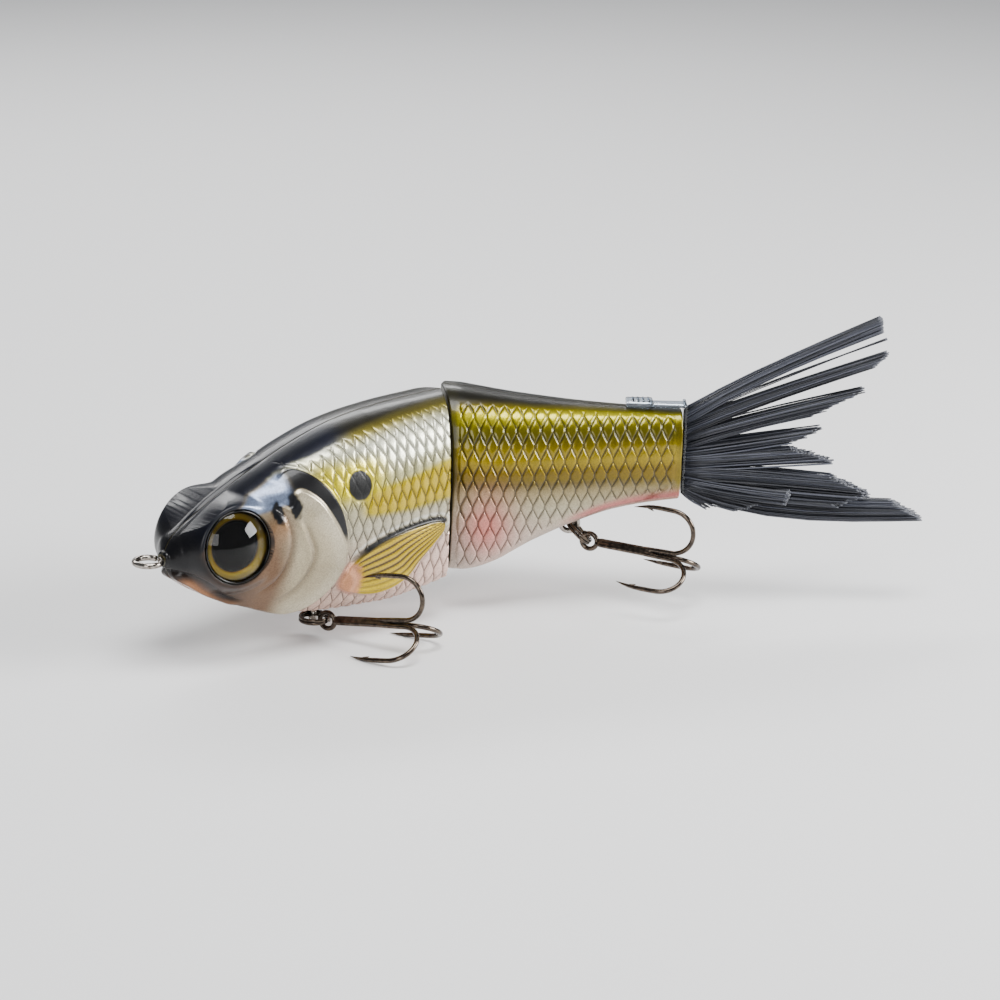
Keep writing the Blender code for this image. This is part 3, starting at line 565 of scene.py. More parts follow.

    # fin, spot and belly paint, with painted shadow in the black line along the fin's top
    fin_coat = Coat(np.broadcast_to(FIN_GOLD, x.shape + (3,)))
    fin_coat.lay(FIN_RAY, 0.92 * on_rays * step(0.1, -0.7, rays))
    fin_coat.lay(FIN_FOOT, 0.5 * step(6, 3, z))
    coat.lay(fin_coat.rgb, step(-0.02, 0.2, fin))
    coat.lay(FIN_ROOT, 0.9 * step(4.7, 3.4, reach + 0.3 * wobble(x, z, 1.4, 2)) * step(-0.7, 0.2, fin))
    coat.lay(FIN_PEARL, 0.8 * bump(fin_top - 0.85, 0.2) * step(0.1, -0.2, fin) * step(0.05, 0.2, along_top))
    # black line along the fin's top: partly paint, partly painted shadow under the raised edge
    coat.lay(FIN_EDGE_AND_SHADOW, step(0.62, 0.3, fin_top) * step(0.02, 0.25, along_top))
    coat.lay(SPOT_BLACK, step(2.2, 1.85, spot + 0.08 * wobble(x, z, 0.9, 4)))
    coat.lay(BELLY_WHITE, 0.7 * step(-17, -14, x) * step(0.1, -0.3, fin) * step(9.5, 8.0, z))
    pearl = PEARL * step(*PEARL_FROM, coat.rgb.sum(-1)) * step(2.0, 9.0, z)
    return height, coat.rgb, pearl_and_net(pearl, along, above, on_scales)


def rear_fields(x, y, z, above):
    """Relief height and paint of the rear section."""
    back = np.interp(x, *REAR_TOP_LINE)
    bottom = monotone([s[0] for s in REAR_STATIONS], [s[2] for s in REAR_STATIONS], x)
    margin = np.interp(x, *REAR_MARGIN)
    net, cell = scale_net(x, above, phase=REAR_PHASE)
    on_scales = step(0.35, -0.35, z - back) * step(0.95, 1.4, x)
    on_scales = on_scales * step(33.0, 32.4, x) * step(bottom + margin - 0.2, bottom + margin + 0.4, z)
    height = on_scales * scale_relief(net, cell, REAR_SCALE_CROWN) - parting_line(y)
    coat = Coat(ramp(z, REAR_FLANK))
    coat.lay(REAR_LIFT, 0.4 * step(20, 33, x) * step(20, 14, z) * step(13, 16, z))
    coat.lay(REAR_PINK, 0.85 * bump(np.hypot((x - 5.4) * 0.9, (z - 8.6) * 0.75), 3.4))
    coat.lay(REAR_EDGE_PINK, 0.85 * bump(z - bottom - 0.9, 0.8) * step(15, 21, x))
    coat.lay(REAR_BACK, step(back - 0.2, back + 0.75, z))
    coat.lay(REAR_FRONT_EDGE, 0.75 * step(1.3, 0.4, x) * step(12, 17, z))
    coat.lay(REAR_END, 0.6 * step(32.8, 33.6, x) * step(12, 15, z) * step(back, back - 1, z))
    pearl = PEARL * step(3.0, 11.0, z) * step(*PEARL_FROM, coat.rgb.sum(-1))
    return height, coat.rgb, pearl_and_net(pearl, x + REAR_PHASE, above, on_scales)


# ---------------------------------------------------------------- materials
def new_material(name):
    """A material with its node tree, its shader's sockets, and the call that links two sockets."""
    mat = bpy.data.materials.new(name)
    mat.use_nodes = True
    tree = mat.node_tree
    return mat, tree, tree.nodes["Principled BSDF"].inputs, tree.links.new


def node(tree, kind, **values):
    made = tree.nodes.new("ShaderNode" + kind)
    for key, value in values.items():
        if key in made.inputs:
            made.inputs[key].default_value = value
        else:
            setattr(made, key, value)
    return made


def noise(tree, scale, detail=3.0, rough=0.5):
    made = node(tree, "TexNoise", Scale=scale, Detail=detail, Roughness=rough)
    tree.links.new(node(tree, "TexCoord").outputs["Object"], made.inputs["Vector"])
    return made.outputs["Fac"]


def field(tree, name):
    """Output sockets of a field that comes with the mesh."""
    return node(tree, "Attribute", attribute_name=name).outputs


def scaled(tree, source, low, high, start=0.0, end=1.0, kind="LINEAR"):
    """A value between start and end mapped to low and high."""
    made = node(tree, "MapRange", interpolation_type=kind)
    for socket, value in zip(made.inputs[1:5], (start, end, low, high)):
        socket.default_value = value
    tree.links.new(source, made.inputs["Value"])
    return made.outputs["Result"]


def bumped(tree, source, strength, distance):
    made = node(tree, "Bump", Strength=strength, Distance=distance)
    tree.links.new(source, made.inputs["Height"])
    return made.outputs["Normal"]


def math_step(tree, operation, first, second=None, clamp=False):
    made = node(tree, "Math", operation=operation, use_clamp=clamp)
    for socket, value in zip(made.inputs, (first, second)):
        if isinstance(value, (int, float)):
            socket.default_value = value
        elif value is not None:
            tree.links.new(value, socket)
    return made.outputs[0]


def tinted(tree, blend, share, first, second):
    """One colour laid over another; a plain share or colour is set, a socket is linked."""
    made = node(tree, "Mix", data_type="RGBA", blend_type=blend)
    for socket, value in ((made.inputs[0], share), (made.inputs[6], first), (made.inputs[7], second)):
        if isinstance(value, (float, tuple)):
            socket.default_value = value
        else:
            tree.links.new(value, socket)
    return made.outputs[2]


def two_tone(tree, source, dark, light, start=0.0, end=1.0):
    """Colour ramp from dark to light over a value."""
    made = node(tree, "ValToRGB")
    for element, colour, place in zip(made.color_ramp.elements, (dark, light), (start, end)):
        element.position = place
        element.color = (*colour, 1)
    tree.links.new(source, made.inputs["Fac"])
    return made.outputs["Color"]


def net_nodes(tree):
    """Distance in mm to the net of scale edges, and the share of scaled skin, from the mesh's fields."""
    split = node(tree, "SeparateXYZ")
    tree.links.new(field(tree, "net")["Vector"], split.inputs[0])
    along, up, share = split.outputs
    part = math_step(tree, "FRACT", up)
    part = math_step(tree, "SUBTRACT", math_step(tree, "MULTIPLY", part, 2.0), 1.0)
    zig = math_step(tree, "SUBTRACT", 1.0 - NET_REST, math_step(tree, "ABSOLUTE", part))
    zig = math_step(tree, "DIVIDE", zig, 1 - 2 * NET_REST, clamp=True)
    half = math_step(tree, "MULTIPLY", zig, 0.5)
    rising = math_step(tree, "PINGPONG", math_step(tree, "SUBTRACT", along, half), 0.5)
    falling = math_step(tree, "PINGPONG", math_step(tree, "ADD", along, half), 0.5)
    nearest = math_step(tree, "MINIMUM", rising, falling)
    return math_step(tree, "MULTIPLY", nearest, SCALE_PITCH * NET_LEAN), share


FLAKE_SCALE = 7000.0        # pigment flakes to the metre
GROOVE_SHADE_EDGE = (0.045, 0.12)   # distances in mm over which the painted shade along a scale's groove fades
# how dark the painted shade in the scale grooves is
GROOVE_SHADE_DARKNESS = 0.74
SLOPE_WIDTH = 0.26          # distance in mm over which a scale's edge rises


def paint_material():
    """Pearl and flake paint under clear coat, with painted shade along the scale grooves; colour, pearl share
    and scale net come with the mesh.
    """
    mat, tree, sockets, link = new_material("pearl_paint")
    pearl = field(tree, "pearl")["Fac"]
    flakes = node(tree, "TexVoronoi", Scale=FLAKE_SCALE)
    link(node(tree, "TexCoord").outputs["Object"], flakes.inputs["Vector"])
    glint = scaled(tree, flakes.outputs["Color"], 0.78, 1.28)
    tone = tinted(tree, "MULTIPLY", 1.0, field(tree, "paint")["Color"], glint)
    distance, share = net_nodes(tree)
    # painted shade along the scale grooves, darkest on the net's lines
    line = scaled(tree, distance, 1.0, 0.0, *GROOVE_SHADE_EDGE, kind="SMOOTHSTEP")
    groove_shade = math_step(tree, "MULTIPLY", math_step(tree, "MULTIPLY", line, share), GROOVE_SHADE_DARKNESS)
    link(tinted(tree, "MIX", groove_shade, tone, (*srgb(34, 30, 16), 1)), sockets["Base Color"])
    link(pearl, sockets["Metallic"])
    link(scaled(tree, noise(tree, 900.0), 0.26, 0.38), sockets["Roughness"])
    slope = scaled(tree, distance, 0.0, 1.0, 0.0, SLOPE_WIDTH, kind="SMOOTHSTEP")
    relief = math_step(tree, "MULTIPLY", math_step(tree, "SUBTRACT", slope, 1.0), share)
    grain = math_step(tree, "MULTIPLY", flakes.outputs["Distance"], 0.10)
    link(bumped(tree, math_step(tree, "ADD", relief, grain), 1.0, 0.10 * MM), sockets["Normal"])
    link(bumped(tree, relief, 0.7, 0.08 * MM), sockets["Coat Normal"])
    link(scaled(tree, pearl, 0.16, 0.75), sockets["Coat Weight"])
    sockets["Specular IOR Level"].default_value = 0.25
    sockets["Coat Roughness"].default_value = 0.05
    sockets["Coat IOR"].default_value = 1.45
    return mat


def plastic_material():
    mat, tree, sockets, link = new_material("bare_plastic")
    grain = noise(tree, 1400.0)
    link(two_tone(tree, grain, srgb(52, 48, 26), srgb(84, 78, 46)), sockets["Base Color"])
    link(scaled(tree, grain, 0.25, 0.45), sockets["Roughness"])
    return mat


def metal_material(name, dark, light, rough, coat=0.0):
    mat, tree, sockets, link = new_material(name)
    grain = noise(tree, 1800.0, 4.0)
    link(two_tone(tree, grain, dark, light, 0.35, 0.68), sockets["Base Color"])
    link(scaled(tree, grain, *rough), sockets["Roughness"])
    sockets["Metallic"].default_value = 1.0
    sockets["Coat Weight"].default_value = coat
    link(bumped(tree, grain, 0.05, 0.03 * MM), sockets["Normal"])
    return mat


def clear_material(name, tint, gloss, ior):
    """Clear resin: light passes straight through, and the surface mirrors by its angle."""
    mat, tree, sockets, link = new_material(name)
    link(scaled(tree, noise(tree, 500.0), gloss, gloss + 0.03), sockets["Roughness"])
    sockets["Base Color"].default_value = (1.0, 1.0, 1.0, 1)
    sockets["Metallic"].default_value = 1.0
    blend = node(tree, "MixShader")
    sources = (node(tree, "Fresnel", IOR=ior), node(tree, "BsdfTransparent", Color=(*tint, 1)),
               tree.nodes["Principled BSDF"])
    for socket, source in zip(blend.inputs, sources):
        link(source.outputs[0], socket)
    link(blend.outputs["Shader"], tree.nodes["Material Output"].inputs["Surface"])
    return mat


def bristle_material():
    mat, tree, sockets, link = new_material("smoky_nylon")
    grain = noise(tree, 2500.0, 2.0)
    vary = scaled(tree, grain, 0.8, 1.15)
    link(tinted(tree, "MULTIPLY", 1.0, field(tree, "paint")["Color"], vary), sockets["Base Color"])
    link(scaled(tree, grain, 0.3, 0.5), sockets["Roughness"])
    return mat


def iris_material():
    """Foil disc; the gold ring and the pupil come with the mesh."""
    mat, tree, sockets, link = new_material("iris_foil")
    link(field(tree, "paint")["Color"], sockets["Base Color"])
    link(scaled(tree, noise(tree, 4000.0, 2.0), 0.22, 0.4), sockets["Roughness"])
    sockets["Metallic"].default_value = 0.55
    sockets["Specular IOR Level"].default_value = 0.08
    return mat


PAINT = paint_material()
PLASTIC = plastic_material()
STEEL = metal_material("bright_wire", srgb(116, 108, 100), srgb(176, 170, 162), (0.12, 0.26))
DARK_STEEL = metal_material("black_nickel", srgb(54, 46, 40), srgb(98, 86, 74), (0.14, 0.30), coat=0.3)
BALLAST = metal_material("cast_weight", srgb(88, 88, 92), srgb(130, 130, 136), (0.45, 0.65))
DOME = clear_material("clear_dome", (1.0, 1.0, 1.0), 0.0, 1.3)
CLEAR = clear_material("clear_plastic", srgb(206, 212, 218), 0.10, 1.5)
BRISTLE = bristle_material()
IRIS = iris_material()
RIM = metal_material("black_rim", srgb(6, 6, 7), srgb(14, 13, 12), (0.12, 0.2), coat=0.6)


# ---------------------------------------------------------------- building pieces
def face_outward(mesh):
    """Turns every face of closed bodies outward."""
    work = bmesh.new()
    work.from_mesh(mesh)
    bmesh.ops.recalc_face_normals(work, faces=work.faces)
    work.to_mesh(mesh)
    work.free()


def place(name, mesh):
    obj = bpy.data.objects.new(name, mesh)
    bpy.context.scene.collection.objects.link(obj)
    return obj


def finish_piece(obj, body, replaces=()):
    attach(obj, body)
    if replaces:
        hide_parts(*replaces)


def to_object(name, verts, faces, matrix, material, body, replaces=()):
    """A smooth piece of one material, from points in mm of its section's frame."""
    mesh = bpy.data.meshes.new(name)
    mesh.from_pydata([tuple(v) for v in np.asarray(verts, float) * MM], [], faces)
    mesh.transform(matrix)
    face_outward(mesh)
    mesh.materials.append(material)
    mesh.polygons.foreach_set("use_smooth", [True] * len(mesh.polygons))
    obj = place(name, mesh)
    finish_piece(obj, body, replaces)
    return obj


def deepen(rgb):
    """Richer and darker pigment under the pearl."""
    grey = (rgb @ np.array(GREY_WEIGHTS))[..., None]
    return np.clip(grey + (rgb - grey) * RICHNESS, 0, 1) * DEPTH


def set_colours(mesh, rgb, pearl=None):
    """Stores the paint on a mesh's points, with pearl share and scale net where they are given."""
    layer = mesh.color_attributes.new("paint", "FLOAT_COLOR", "POINT")
    rgba = np.concatenate([np.clip(rgb, 0, 1), np.ones((len(rgb), 1))], -1)
    layer.data.foreach_set("color", rgba.ravel())
    if pearl is not None:
        share = mesh.attributes.new("pearl", "FLOAT", "POINT")
        share.data.foreach_set("value", pearl[:, 0].copy())
        net = mesh.attributes.new("net", "FLOAT_VECTOR", "POINT")
        net.data.foreach_set("vector", pearl[:, 1:].ravel())


def socket(skin, rgb):
    """Sinks the eye's pocket and raises a lid round it."""
    height, radius, normal = eye_plane(skin, 1)
    in_pocket = radius < POCKET_RADIUS
    want = np.where(in_pocket, POCKET_FLOOR, np.maximum(height, LID_RISE))
    near = step(EYE_RADIUS + LID_SPREAD[0], EYE_RADIUS + LID_SPREAD[1], radius)
    near = np.where(in_pocket, 1.0, near) * (skin[..., 1] > 1.0)
    moved = skin + (near * (want - height))[..., None] * normal
    return moved, mix(rgb, EYELID, near * step(EYE_RADIUS + 0.35, EYE_RADIUS + 0.05, radius))


def add_rims(skin, rgb, pearl, rims):
    """Adds rings that round the section's ends over; returns the arrays with them."""
    ends = []
    for edge, sign, size in ((skin[0], -1, rims[0]), (skin[-1], 1, rims[1])):
        inward = edge - edge.mean(0)
        length = np.linalg.norm(inward[:, 1:], axis=-1, keepdims=True) + 1e-9
        rows = []
        for angle in np.linspace(0, math.pi / 2, RIM_STEPS)[1:]:
            shrink = size * (1 - math.cos(angle))
            row = edge - inward * np.minimum(shrink / length, RIM_LIMIT)
            row[:, 0] += sign * size * math.sin(angle) * RIM_BULGE
            rows.append(row)
        ends.append(np.array(rows))
    skin = np.concatenate([ends[0][::-1], skin, ends[1]])
    rgb, pearl = [np.concatenate([np.repeat(a[:1], RIM_STEPS - 1, 0), a, np.repeat(a[-1:], RIM_STEPS - 1, 0)])
                  for a in (rgb, pearl)]
    return skin, rgb, pearl


def front_lean(x, y):
    start, end = FRONT_WEDGE
    reach = np.clip((x - start) / (end - start), 0, 1)
    return x + reach * (FRONT_APEX_X - end - FRONT_V_SLOPE * y)


def rear_lean(x, y):
    start, end = REAR_WEDGE
    reach = np.clip((start - x) / (start - end), 0, 1)
    tail, tail_end, pull = TAIL_LEAN
    drawn_in = pull * np.clip((x - tail) / (tail_end - tail), 0, 1)
    return x + reach * (REAR_V_SLOPE * y + REAR_WEDGE_SHIFT) - drawn_in


def body_half(side, label, section, stations, ref_z, grid, rims, lean, fields, has_eye, matrix, cutters=()):
    """One painted half of a body section: displaced skin, rounded rims and flat caps."""
    name, body = "painted_%s_%s" % (section, label), section + "_section"
    rings, points = grid
    xs = np.linspace(stations[0][0], stations[-1][0], rings)
    y, z, above = np.array([half_section(stations, x, points, ref_z) for x in xs]).transpose(1, 0, 2)
    x = lean(np.repeat(xs[:, None], points, 1), y)
    flat = np.stack([x, y, z], -1)
    normal = np.cross(np.gradient(flat, axis=0), np.gradient(flat, axis=1))
    normal /= np.linalg.norm(normal, axis=-1, keepdims=True) + 1e-12
    outward = np.stack([np.zeros_like(y), y, z - z.mean(1, keepdims=True)], -1)
    normal *= np.sign((normal * outward).sum(-1, keepdims=True))
    height, rgb, pearl = fields(x, y, z, above)
    # the relief dies down towards the seam, so that the halves meet
    edge = np.minimum(y - SEAM, SEAM_FADE) / SEAM_FADE
    skin = flat + normal * (height * (SEAM_RELIEF + (1 - SEAM_RELIEF) * edge))[..., None]
    if has_eye:
        skin, rgb = socket(skin, rgb)
    skin, rgb, pearl = add_rims(skin, rgb, pearl, rims)
    rows = skin.shape[0]
    skin[..., 1] = np.maximum(skin[..., 1], SEAM)
    skin[:, (0, -1), 1] = SEAM
    skin[..., 1] *= side
    faces = [(a + k, a + k + 1, a + points + k + 1, a + points + k)
             for a in range(0, (rows - 1) * points, points) for k in range(points - 1)]
    skin_faces = len(faces)
    starts = [i * points for i in range(rows)]
    seam = starts + [a + points - 1 for a in reversed(starts)]
    faces += [tuple(seam), tuple(range(points))[::-1], tuple(range(starts[-1], rows * points))]
    if side < 0:
        faces = [f[::-1] for f in faces]
    mesh = bpy.data.meshes.new(name)
    mesh.from_pydata([tuple(v) for v in skin.reshape(-1, 3) * MM], [], faces)
    mesh.materials.append(PAINT)
    mesh.materials.append(PLASTIC)
    index = np.zeros(len(faces), int)
    index[skin_faces:] = 1
    mesh.polygons.foreach_set("material_index", index)
    mesh.polygons.foreach_set("use_smooth", index == 0)
    set_colours(mesh, deepen(rgb.reshape(-1, 3)), pearl.reshape(-1, 4))
    face_outward(mesh)
    obj = place(name, mesh)
    for shape in cutters:
        modifier = obj.modifiers.new("slot", "BOOLEAN")
        modifier.solver = "MANIFOLD"
        modifier.operation = "DIFFERENCE"
        modifier.object = shape
    if cutters:
        bpy.context.view_layer.update()
        graph = bpy.context.evaluated_depsgraph_get()
        result = bpy.data.meshes.new_from_object(obj.evaluated_get(graph))
        obj.modifiers.clear()
        obj.data = result
    obj.data.transform(matrix)
    finish_piece(obj, body, ("%s_shell_%s" % (section, label),))


def cutter(name, outline, low, high):
    """Upright prism taken out of both halves of a section, leaving bare plastic; sizes in mm."""
    count = len(outline)
    verts = [(x * MM, y * MM, z * MM) for z in (low, high) for x, y in outline]
    faces = [(k, (k + 1) % count, count + (k + 1) % count, count + k) for k in range(count)]
    faces += [tuple(range(count))[::-1], tuple(range(count, 2 * count))]
    mesh = bpy.data.meshes.new(name)
    mesh.from_pydata(verts, [], faces)
    mesh.materials.append(PAINT)
    mesh.materials.append(PLASTIC)
    mesh.polygons.foreach_set("material_index", [1] * len(faces))
    return place(name, mesh)


def circle(radius, sides=14):
    return [(radius * math.cos(math.tau * k / sides), radius * math.sin(math.tau * k / sides))
            for k in range(sides)]


HINGE_LEVELS = (7.0, 20.5)  # heights of the two joint eyes
SLOT_RADIUS = 2.75
SLOT_HALF = 0.8
# the tail insert's socket, reaching out past the tail's end face
SOCKET_X = (28.0, 36.0)
SOCKET_HALF = 1.15
SOCKET_Z = (13.6, 22.4)

cutters = [cutter("slot_cutter", circle(SLOT_RADIUS, 32), level - SLOT_HALF, level + SLOT_HALF)
           for level in HINGE_LEVELS]
corners = [(SOCKET_X[0], -SOCKET_HALF), (SOCKET_X[1], -SOCKET_HALF), (SOCKET_X[1], SOCKET_HALF),
           (SOCKET_X[0], SOCKET_HALF)]
cutters.append(cutter("socket_cutter", corners, *SOCKET_Z))
for side, label in ((-1, "left"), (1, "right")):
    body_half(side, label, "front", FRONT_STATIONS, FRONT_REF_Z, FRONT_GRID, FRONT_RIMS, front_lean,
              front_fields, True, FRONT_FRAME)
    body_half(side, label, "rear", REAR_STATIONS, REAR_REF_Z, REAR_GRID, REAR_RIMS, rear_lean,
              rear_fields, False, REAR_FRAME, cutters)
for used in cutters:
    bpy.data.objects.remove(used, do_unlink=True)


# ---------------------------------------------------------------- eyes
# radius and height over the eye's plane; the iris is a cone round a flat pupil
IRIS_WALL = ((EYE_RADIUS - 0.02, -1.1), (EYE_RADIUS - 0.02, -0.25), (EYE_RADIUS - 0.3, -0.2))
IRIS_CONE = [(EYE_RADIUS - 0.3 - 0.125 * i, -0.2 - 0.07 * i) for i in range(1, 11)]
PUPIL = [(3.6 - 0.3 * i, -0.92) for i in range(12)]
IRIS_RINGS = [(0, srgb(3, 3, 3)), (3.6, srgb(3, 3, 3)), (3.72, srgb(150, 112, 0)),
              (3.95, srgb(238, 206, 60)), (4.5, srgb(255, 226, 96)), (4.72, srgb(120, 92, 4)),
              (4.86, srgb(10, 8, 5)), (5.2, srgb(5, 5, 5))]
IRIS_SHADE = (0.45, -0.75)  # heights, in eye radii, between which painted shade on the foil's top gives way to full colour lower down
# share of the foil's colour left at its top under the painted shade
IRIS_PAINTED_SHADE = 0.2
DOME_RISE = 1.9
DOME_EDGE = EYE_RADIUS - 0.28
DOME_FOOT = -1.0
DOME_ROWS = 26
RIM_CENTRE = (EYE_RADIUS - 0.13, 0.02)
RIM_SIZE = (0.17, 0.22)
RIM_SIDES = 12


def eye(side, label):
    """Foil disc, clear dome and black rim of one eye."""
    normal = Vector((EYE_NORMAL.x, side * EYE_NORMAL.y, EYE_NORMAL.z))
    centre = Vector((EYE_CENTRE.x, side * EYE_CENTRE.y, EYE_CENTRE.z))
    u = normal.cross(UP).normalized()
    v = normal.cross(u)
    angles = [math.tau * k / EYE_STEPS for k in range(EYE_STEPS)]
    spokes = [u * math.cos(a) + v * math.sin(a) for a in angles]

    def turned(profile, closed=False):
        """Solid of a profile turned about the eye's normal, capped unless the profile is closed."""
        verts = [centre + normal * height + spoke * radius for radius, height in profile for spoke in spokes]
        rows = len(profile)
        faces = []
        for i in range(rows if closed else rows - 1):
            low, high = i * EYE_STEPS, (i + 1) % rows * EYE_STEPS
            for k in range(EYE_STEPS):
                n = (k + 1) % EYE_STEPS
                faces.append((low + k, low + n, high + n, high + k))
        if not closed:
            faces.append(tuple(range(EYE_STEPS))[::-1])
            faces.append(tuple(range((rows - 1) * EYE_STEPS, rows * EYE_STEPS)))
        return verts, faces

    def add(kind, profile, material, replaces=(), closed=False):
        verts, faces = turned(profile, closed)
        return verts, to_object(label + kind, verts, faces, FRONT_FRAME, material, "front_section",
                                replaces)

    verts, iris = add("_iris", [*IRIS_WALL, *IRIS_CONE, *PUPIL], IRIS, (label + "_eye_disc",))
    offset = np.array([tuple(w) for w in verts]) - np.array(centre)
    radius = np.sqrt(np.maximum((offset ** 2).sum(-1) - (offset @ np.array(normal)) ** 2, 0))
    # painted shade: the foil is darker towards its top, full colour lower down
    low = step(*IRIS_SHADE, offset[:, 2] / EYE_RADIUS)
    set_colours(iris.data, ramp(radius, IRIS_RINGS) * (IRIS_PAINTED_SHADE + (1 - IRIS_PAINTED_SHADE) * low[:, None]))
    curve = (DOME_EDGE ** 2 + DOME_RISE ** 2) / (2 * DOME_RISE)
    dome = [(DOME_EDGE, DOME_FOOT)]
    dome += [(r, math.sqrt(curve ** 2 - r ** 2) - (curve - DOME_RISE))
             for r in DOME_EDGE * np.cos(np.linspace(0, 1.54, DOME_ROWS))]
    add("_dome", dome, DOME, (label + "_eye_dome",))
    rim = []
    for k in range(RIM_SIDES):
        a = math.tau * k / RIM_SIDES
        rim.append((RIM_CENTRE[0] + RIM_SIZE[0] * math.cos(a), RIM_CENTRE[1] + RIM_SIZE[1] * math.sin(a)))
    add("_eye_rim", rim, RIM, closed=True)


for side, label in ((-1, "left"), (1, "right")):
    eye(side, label)


# ---------------------------------------------------------------- wire and hooks
WIRE = 0.42                 # radius of the wire that all eyes are bent from
TIE = Vector((-55.1, 0, 11.6))
TIE_RING = 1.85
TIE_SHANK_END = -45.2
LOOP_RADIUS = 1.25
FRONT_SHANK = 10.3          # how far each hanger's shank rises from its loop's centre
REAR_SHANK = 8.1
HINGE_RING = 1.32
HINGE_SHANK_END = -8.7
EYE_OPENING = (16, 30)      # degrees left open where a wire eye starts, and in all
EYE_NECK = 0.45

RING_RADIUS = 2.1           # split ring, mean
RING_TURNS = 2.0
RING_STEPS = 96
RING_START = 1.1            # angle of the wire's first end
RING_LEVEL = 0.235          # each turn's height from the ring's middle
RING_CROSSOVER = 14         # how sharply the wire steps from one turn to the other
RING_HALF = (0.23, 0.225)   # half width and height of the flattened wire
RING_SQUARENESS = 0.6
RING_END_TAPER = 0.7

TREBLE_EYE = 1.2
TREBLE_WIRE = 0.37
TREBLE_STRAIGHT = 12.8
TREBLE_FIRST = 0.55         # bend's distance from the axis where it starts
TREBLE_BEND = 3.25
TREBLE_FAR = TREBLE_FIRST + 2 * TREBLE_BEND
BEND_STEPS = 24
BRAZE_RADIUS = (0.66, 0.11)         # mean radius of the shank and its three lobes' height
BRAZE = ((1.0, 0.55), (1.35, 0.82), (1.9, 0.98), (4.5, 1.0), (8.6, 1.0), (9.6, 0.92), (10.2, 0.72))
# distance along the shank and off its axis where each bend's wire leaves the braze
TREBLE_LEAVE = ((7.6, 0.34), (9.0, 0.44), (10.4, 0.5), (11.6, 0.53), (TREBLE_STRAIGHT, TREBLE_FIRST))
# distance along, offset from the bend's far side and share of the wire's thickness of the point
TREBLE_POINT = ((11.7, 0.03, 1.0), (10.6, 0.04, 0.96), (9.5, 0.0, 0.86), (8.6, -0.09, 0.7),
                (7.8, -0.23, 0.48), (7.1, -0.38, 0.26), (6.6, -0.5, 0.06))
TREBLE_BARB = ((8.3, -0.12, 0.5), (8.9, -0.22, 1.0), (9.4, -0.44, 0.7), (9.75, -0.62, 0.12))
BARB_RADIUS = 0.2
FRONT_SHANK_RISE = 0.15
REAR_HOOK_YAW = math.radians(25.0)
REAR_SHANK_RISE = -0.03


def sweep(path, profile, up, closed=False, scale=None):
    """Solid of a profile carried along a path; the profile is (across, up) pairs in mm."""
    pts = [Vector(p) for p in path]
    count, size = len(pts), len(profile)
    verts, faces = [], []
    normal = Vector(up)
    for i, point in enumerate(pts):
        ahead = pts[(i + 1) % count] if closed or i < count - 1 else point
        behind = pts[i - 1] if closed or i > 0 else point
        tangent = (ahead - behind).normalized()
        normal = (normal - tangent * normal.dot(tangent)).normalized()
        across = tangent.cross(normal)
        factor = 1.0 if scale is None else scale[i]
        verts += [point + across * a * factor + normal * b * factor for a, b in profile]
    for i in range(count if closed else count - 1):
        a, b = i * size, ((i + 1) % count) * size
        for k in range(size):
            n = (k + 1) % size
            faces.append((a + k, b + k, b + n, a + n))
    if not closed:
        faces.append(tuple(range(size)))
        faces.append(tuple(range((count - 1) * size, count * size))[::-1])
    return verts, faces


def join(parts):
    verts, faces = [], []
    for part_verts, part_faces in parts:
        base = len(verts)
        verts += list(part_verts)
        faces += [tuple(base + i for i in f) for f in part_faces]
    return verts, faces


def wire_eye(name, centre, u, v, shank_end, radius, body, matrix, node_name):
    """Eye bent from one wire: the loop comes round and closes against its own shank."""
    centre, u, v = Vector(centre), Vector(u).normalized(), Vector(v).normalized()
    direction = (Vector(shank_end) - centre).normalized()
    start = math.atan2(direction.dot(v), direction.dot(u)) + math.radians(EYE_OPENING[0])
    turn = math.tau - math.radians(EYE_OPENING[1])
    neck = centre + direction * (radius + EYE_NECK)
    path = []
    for i in range(37):
        angle = start + turn * i / 36
        path.append(centre + (u * math.cos(angle) + v * math.sin(angle)) * radius)
    path += [neck.lerp(Vector(shank_end), i / 6) for i in range(7)]
    verts, faces = sweep(path, circle(WIRE), u.cross(v))
    to_object(name, verts, faces, matrix, STEEL, body, (node_name,))


def split_ring(name, centre, across, flat_normal, body, matrix):
    """Two turns of flattened wire, one on the other, each end stepping over to its neighbour."""
    centre, u, n = Vector(centre), Vector(across).normalized(), Vector(flat_normal).normalized()
    v = n.cross(u)
    path = []
    for i in range(RING_STEPS + 1):
        share = i / RING_STEPS
        angle = math.tau * RING_TURNS * share + RING_START
        level = RING_LEVEL * math.tanh((share - 0.5) * RING_CROSSOVER)
        path.append(centre + (u * math.cos(angle) + v * math.sin(angle)) * RING_RADIUS + n * level)
    profile = [[half * math.copysign(abs(c) ** RING_SQUARENESS, c) for half, c in zip(RING_HALF, corner)]
               for corner in circle(1.0, 12)]
    taper = [RING_END_TAPER] + [1.0] * (RING_STEPS - 1) + [RING_END_TAPER]
    verts, faces = sweep(path, profile, n, scale=taper)
    to_object(name, verts, faces, matrix, DARK_STEEL, body, (body,))


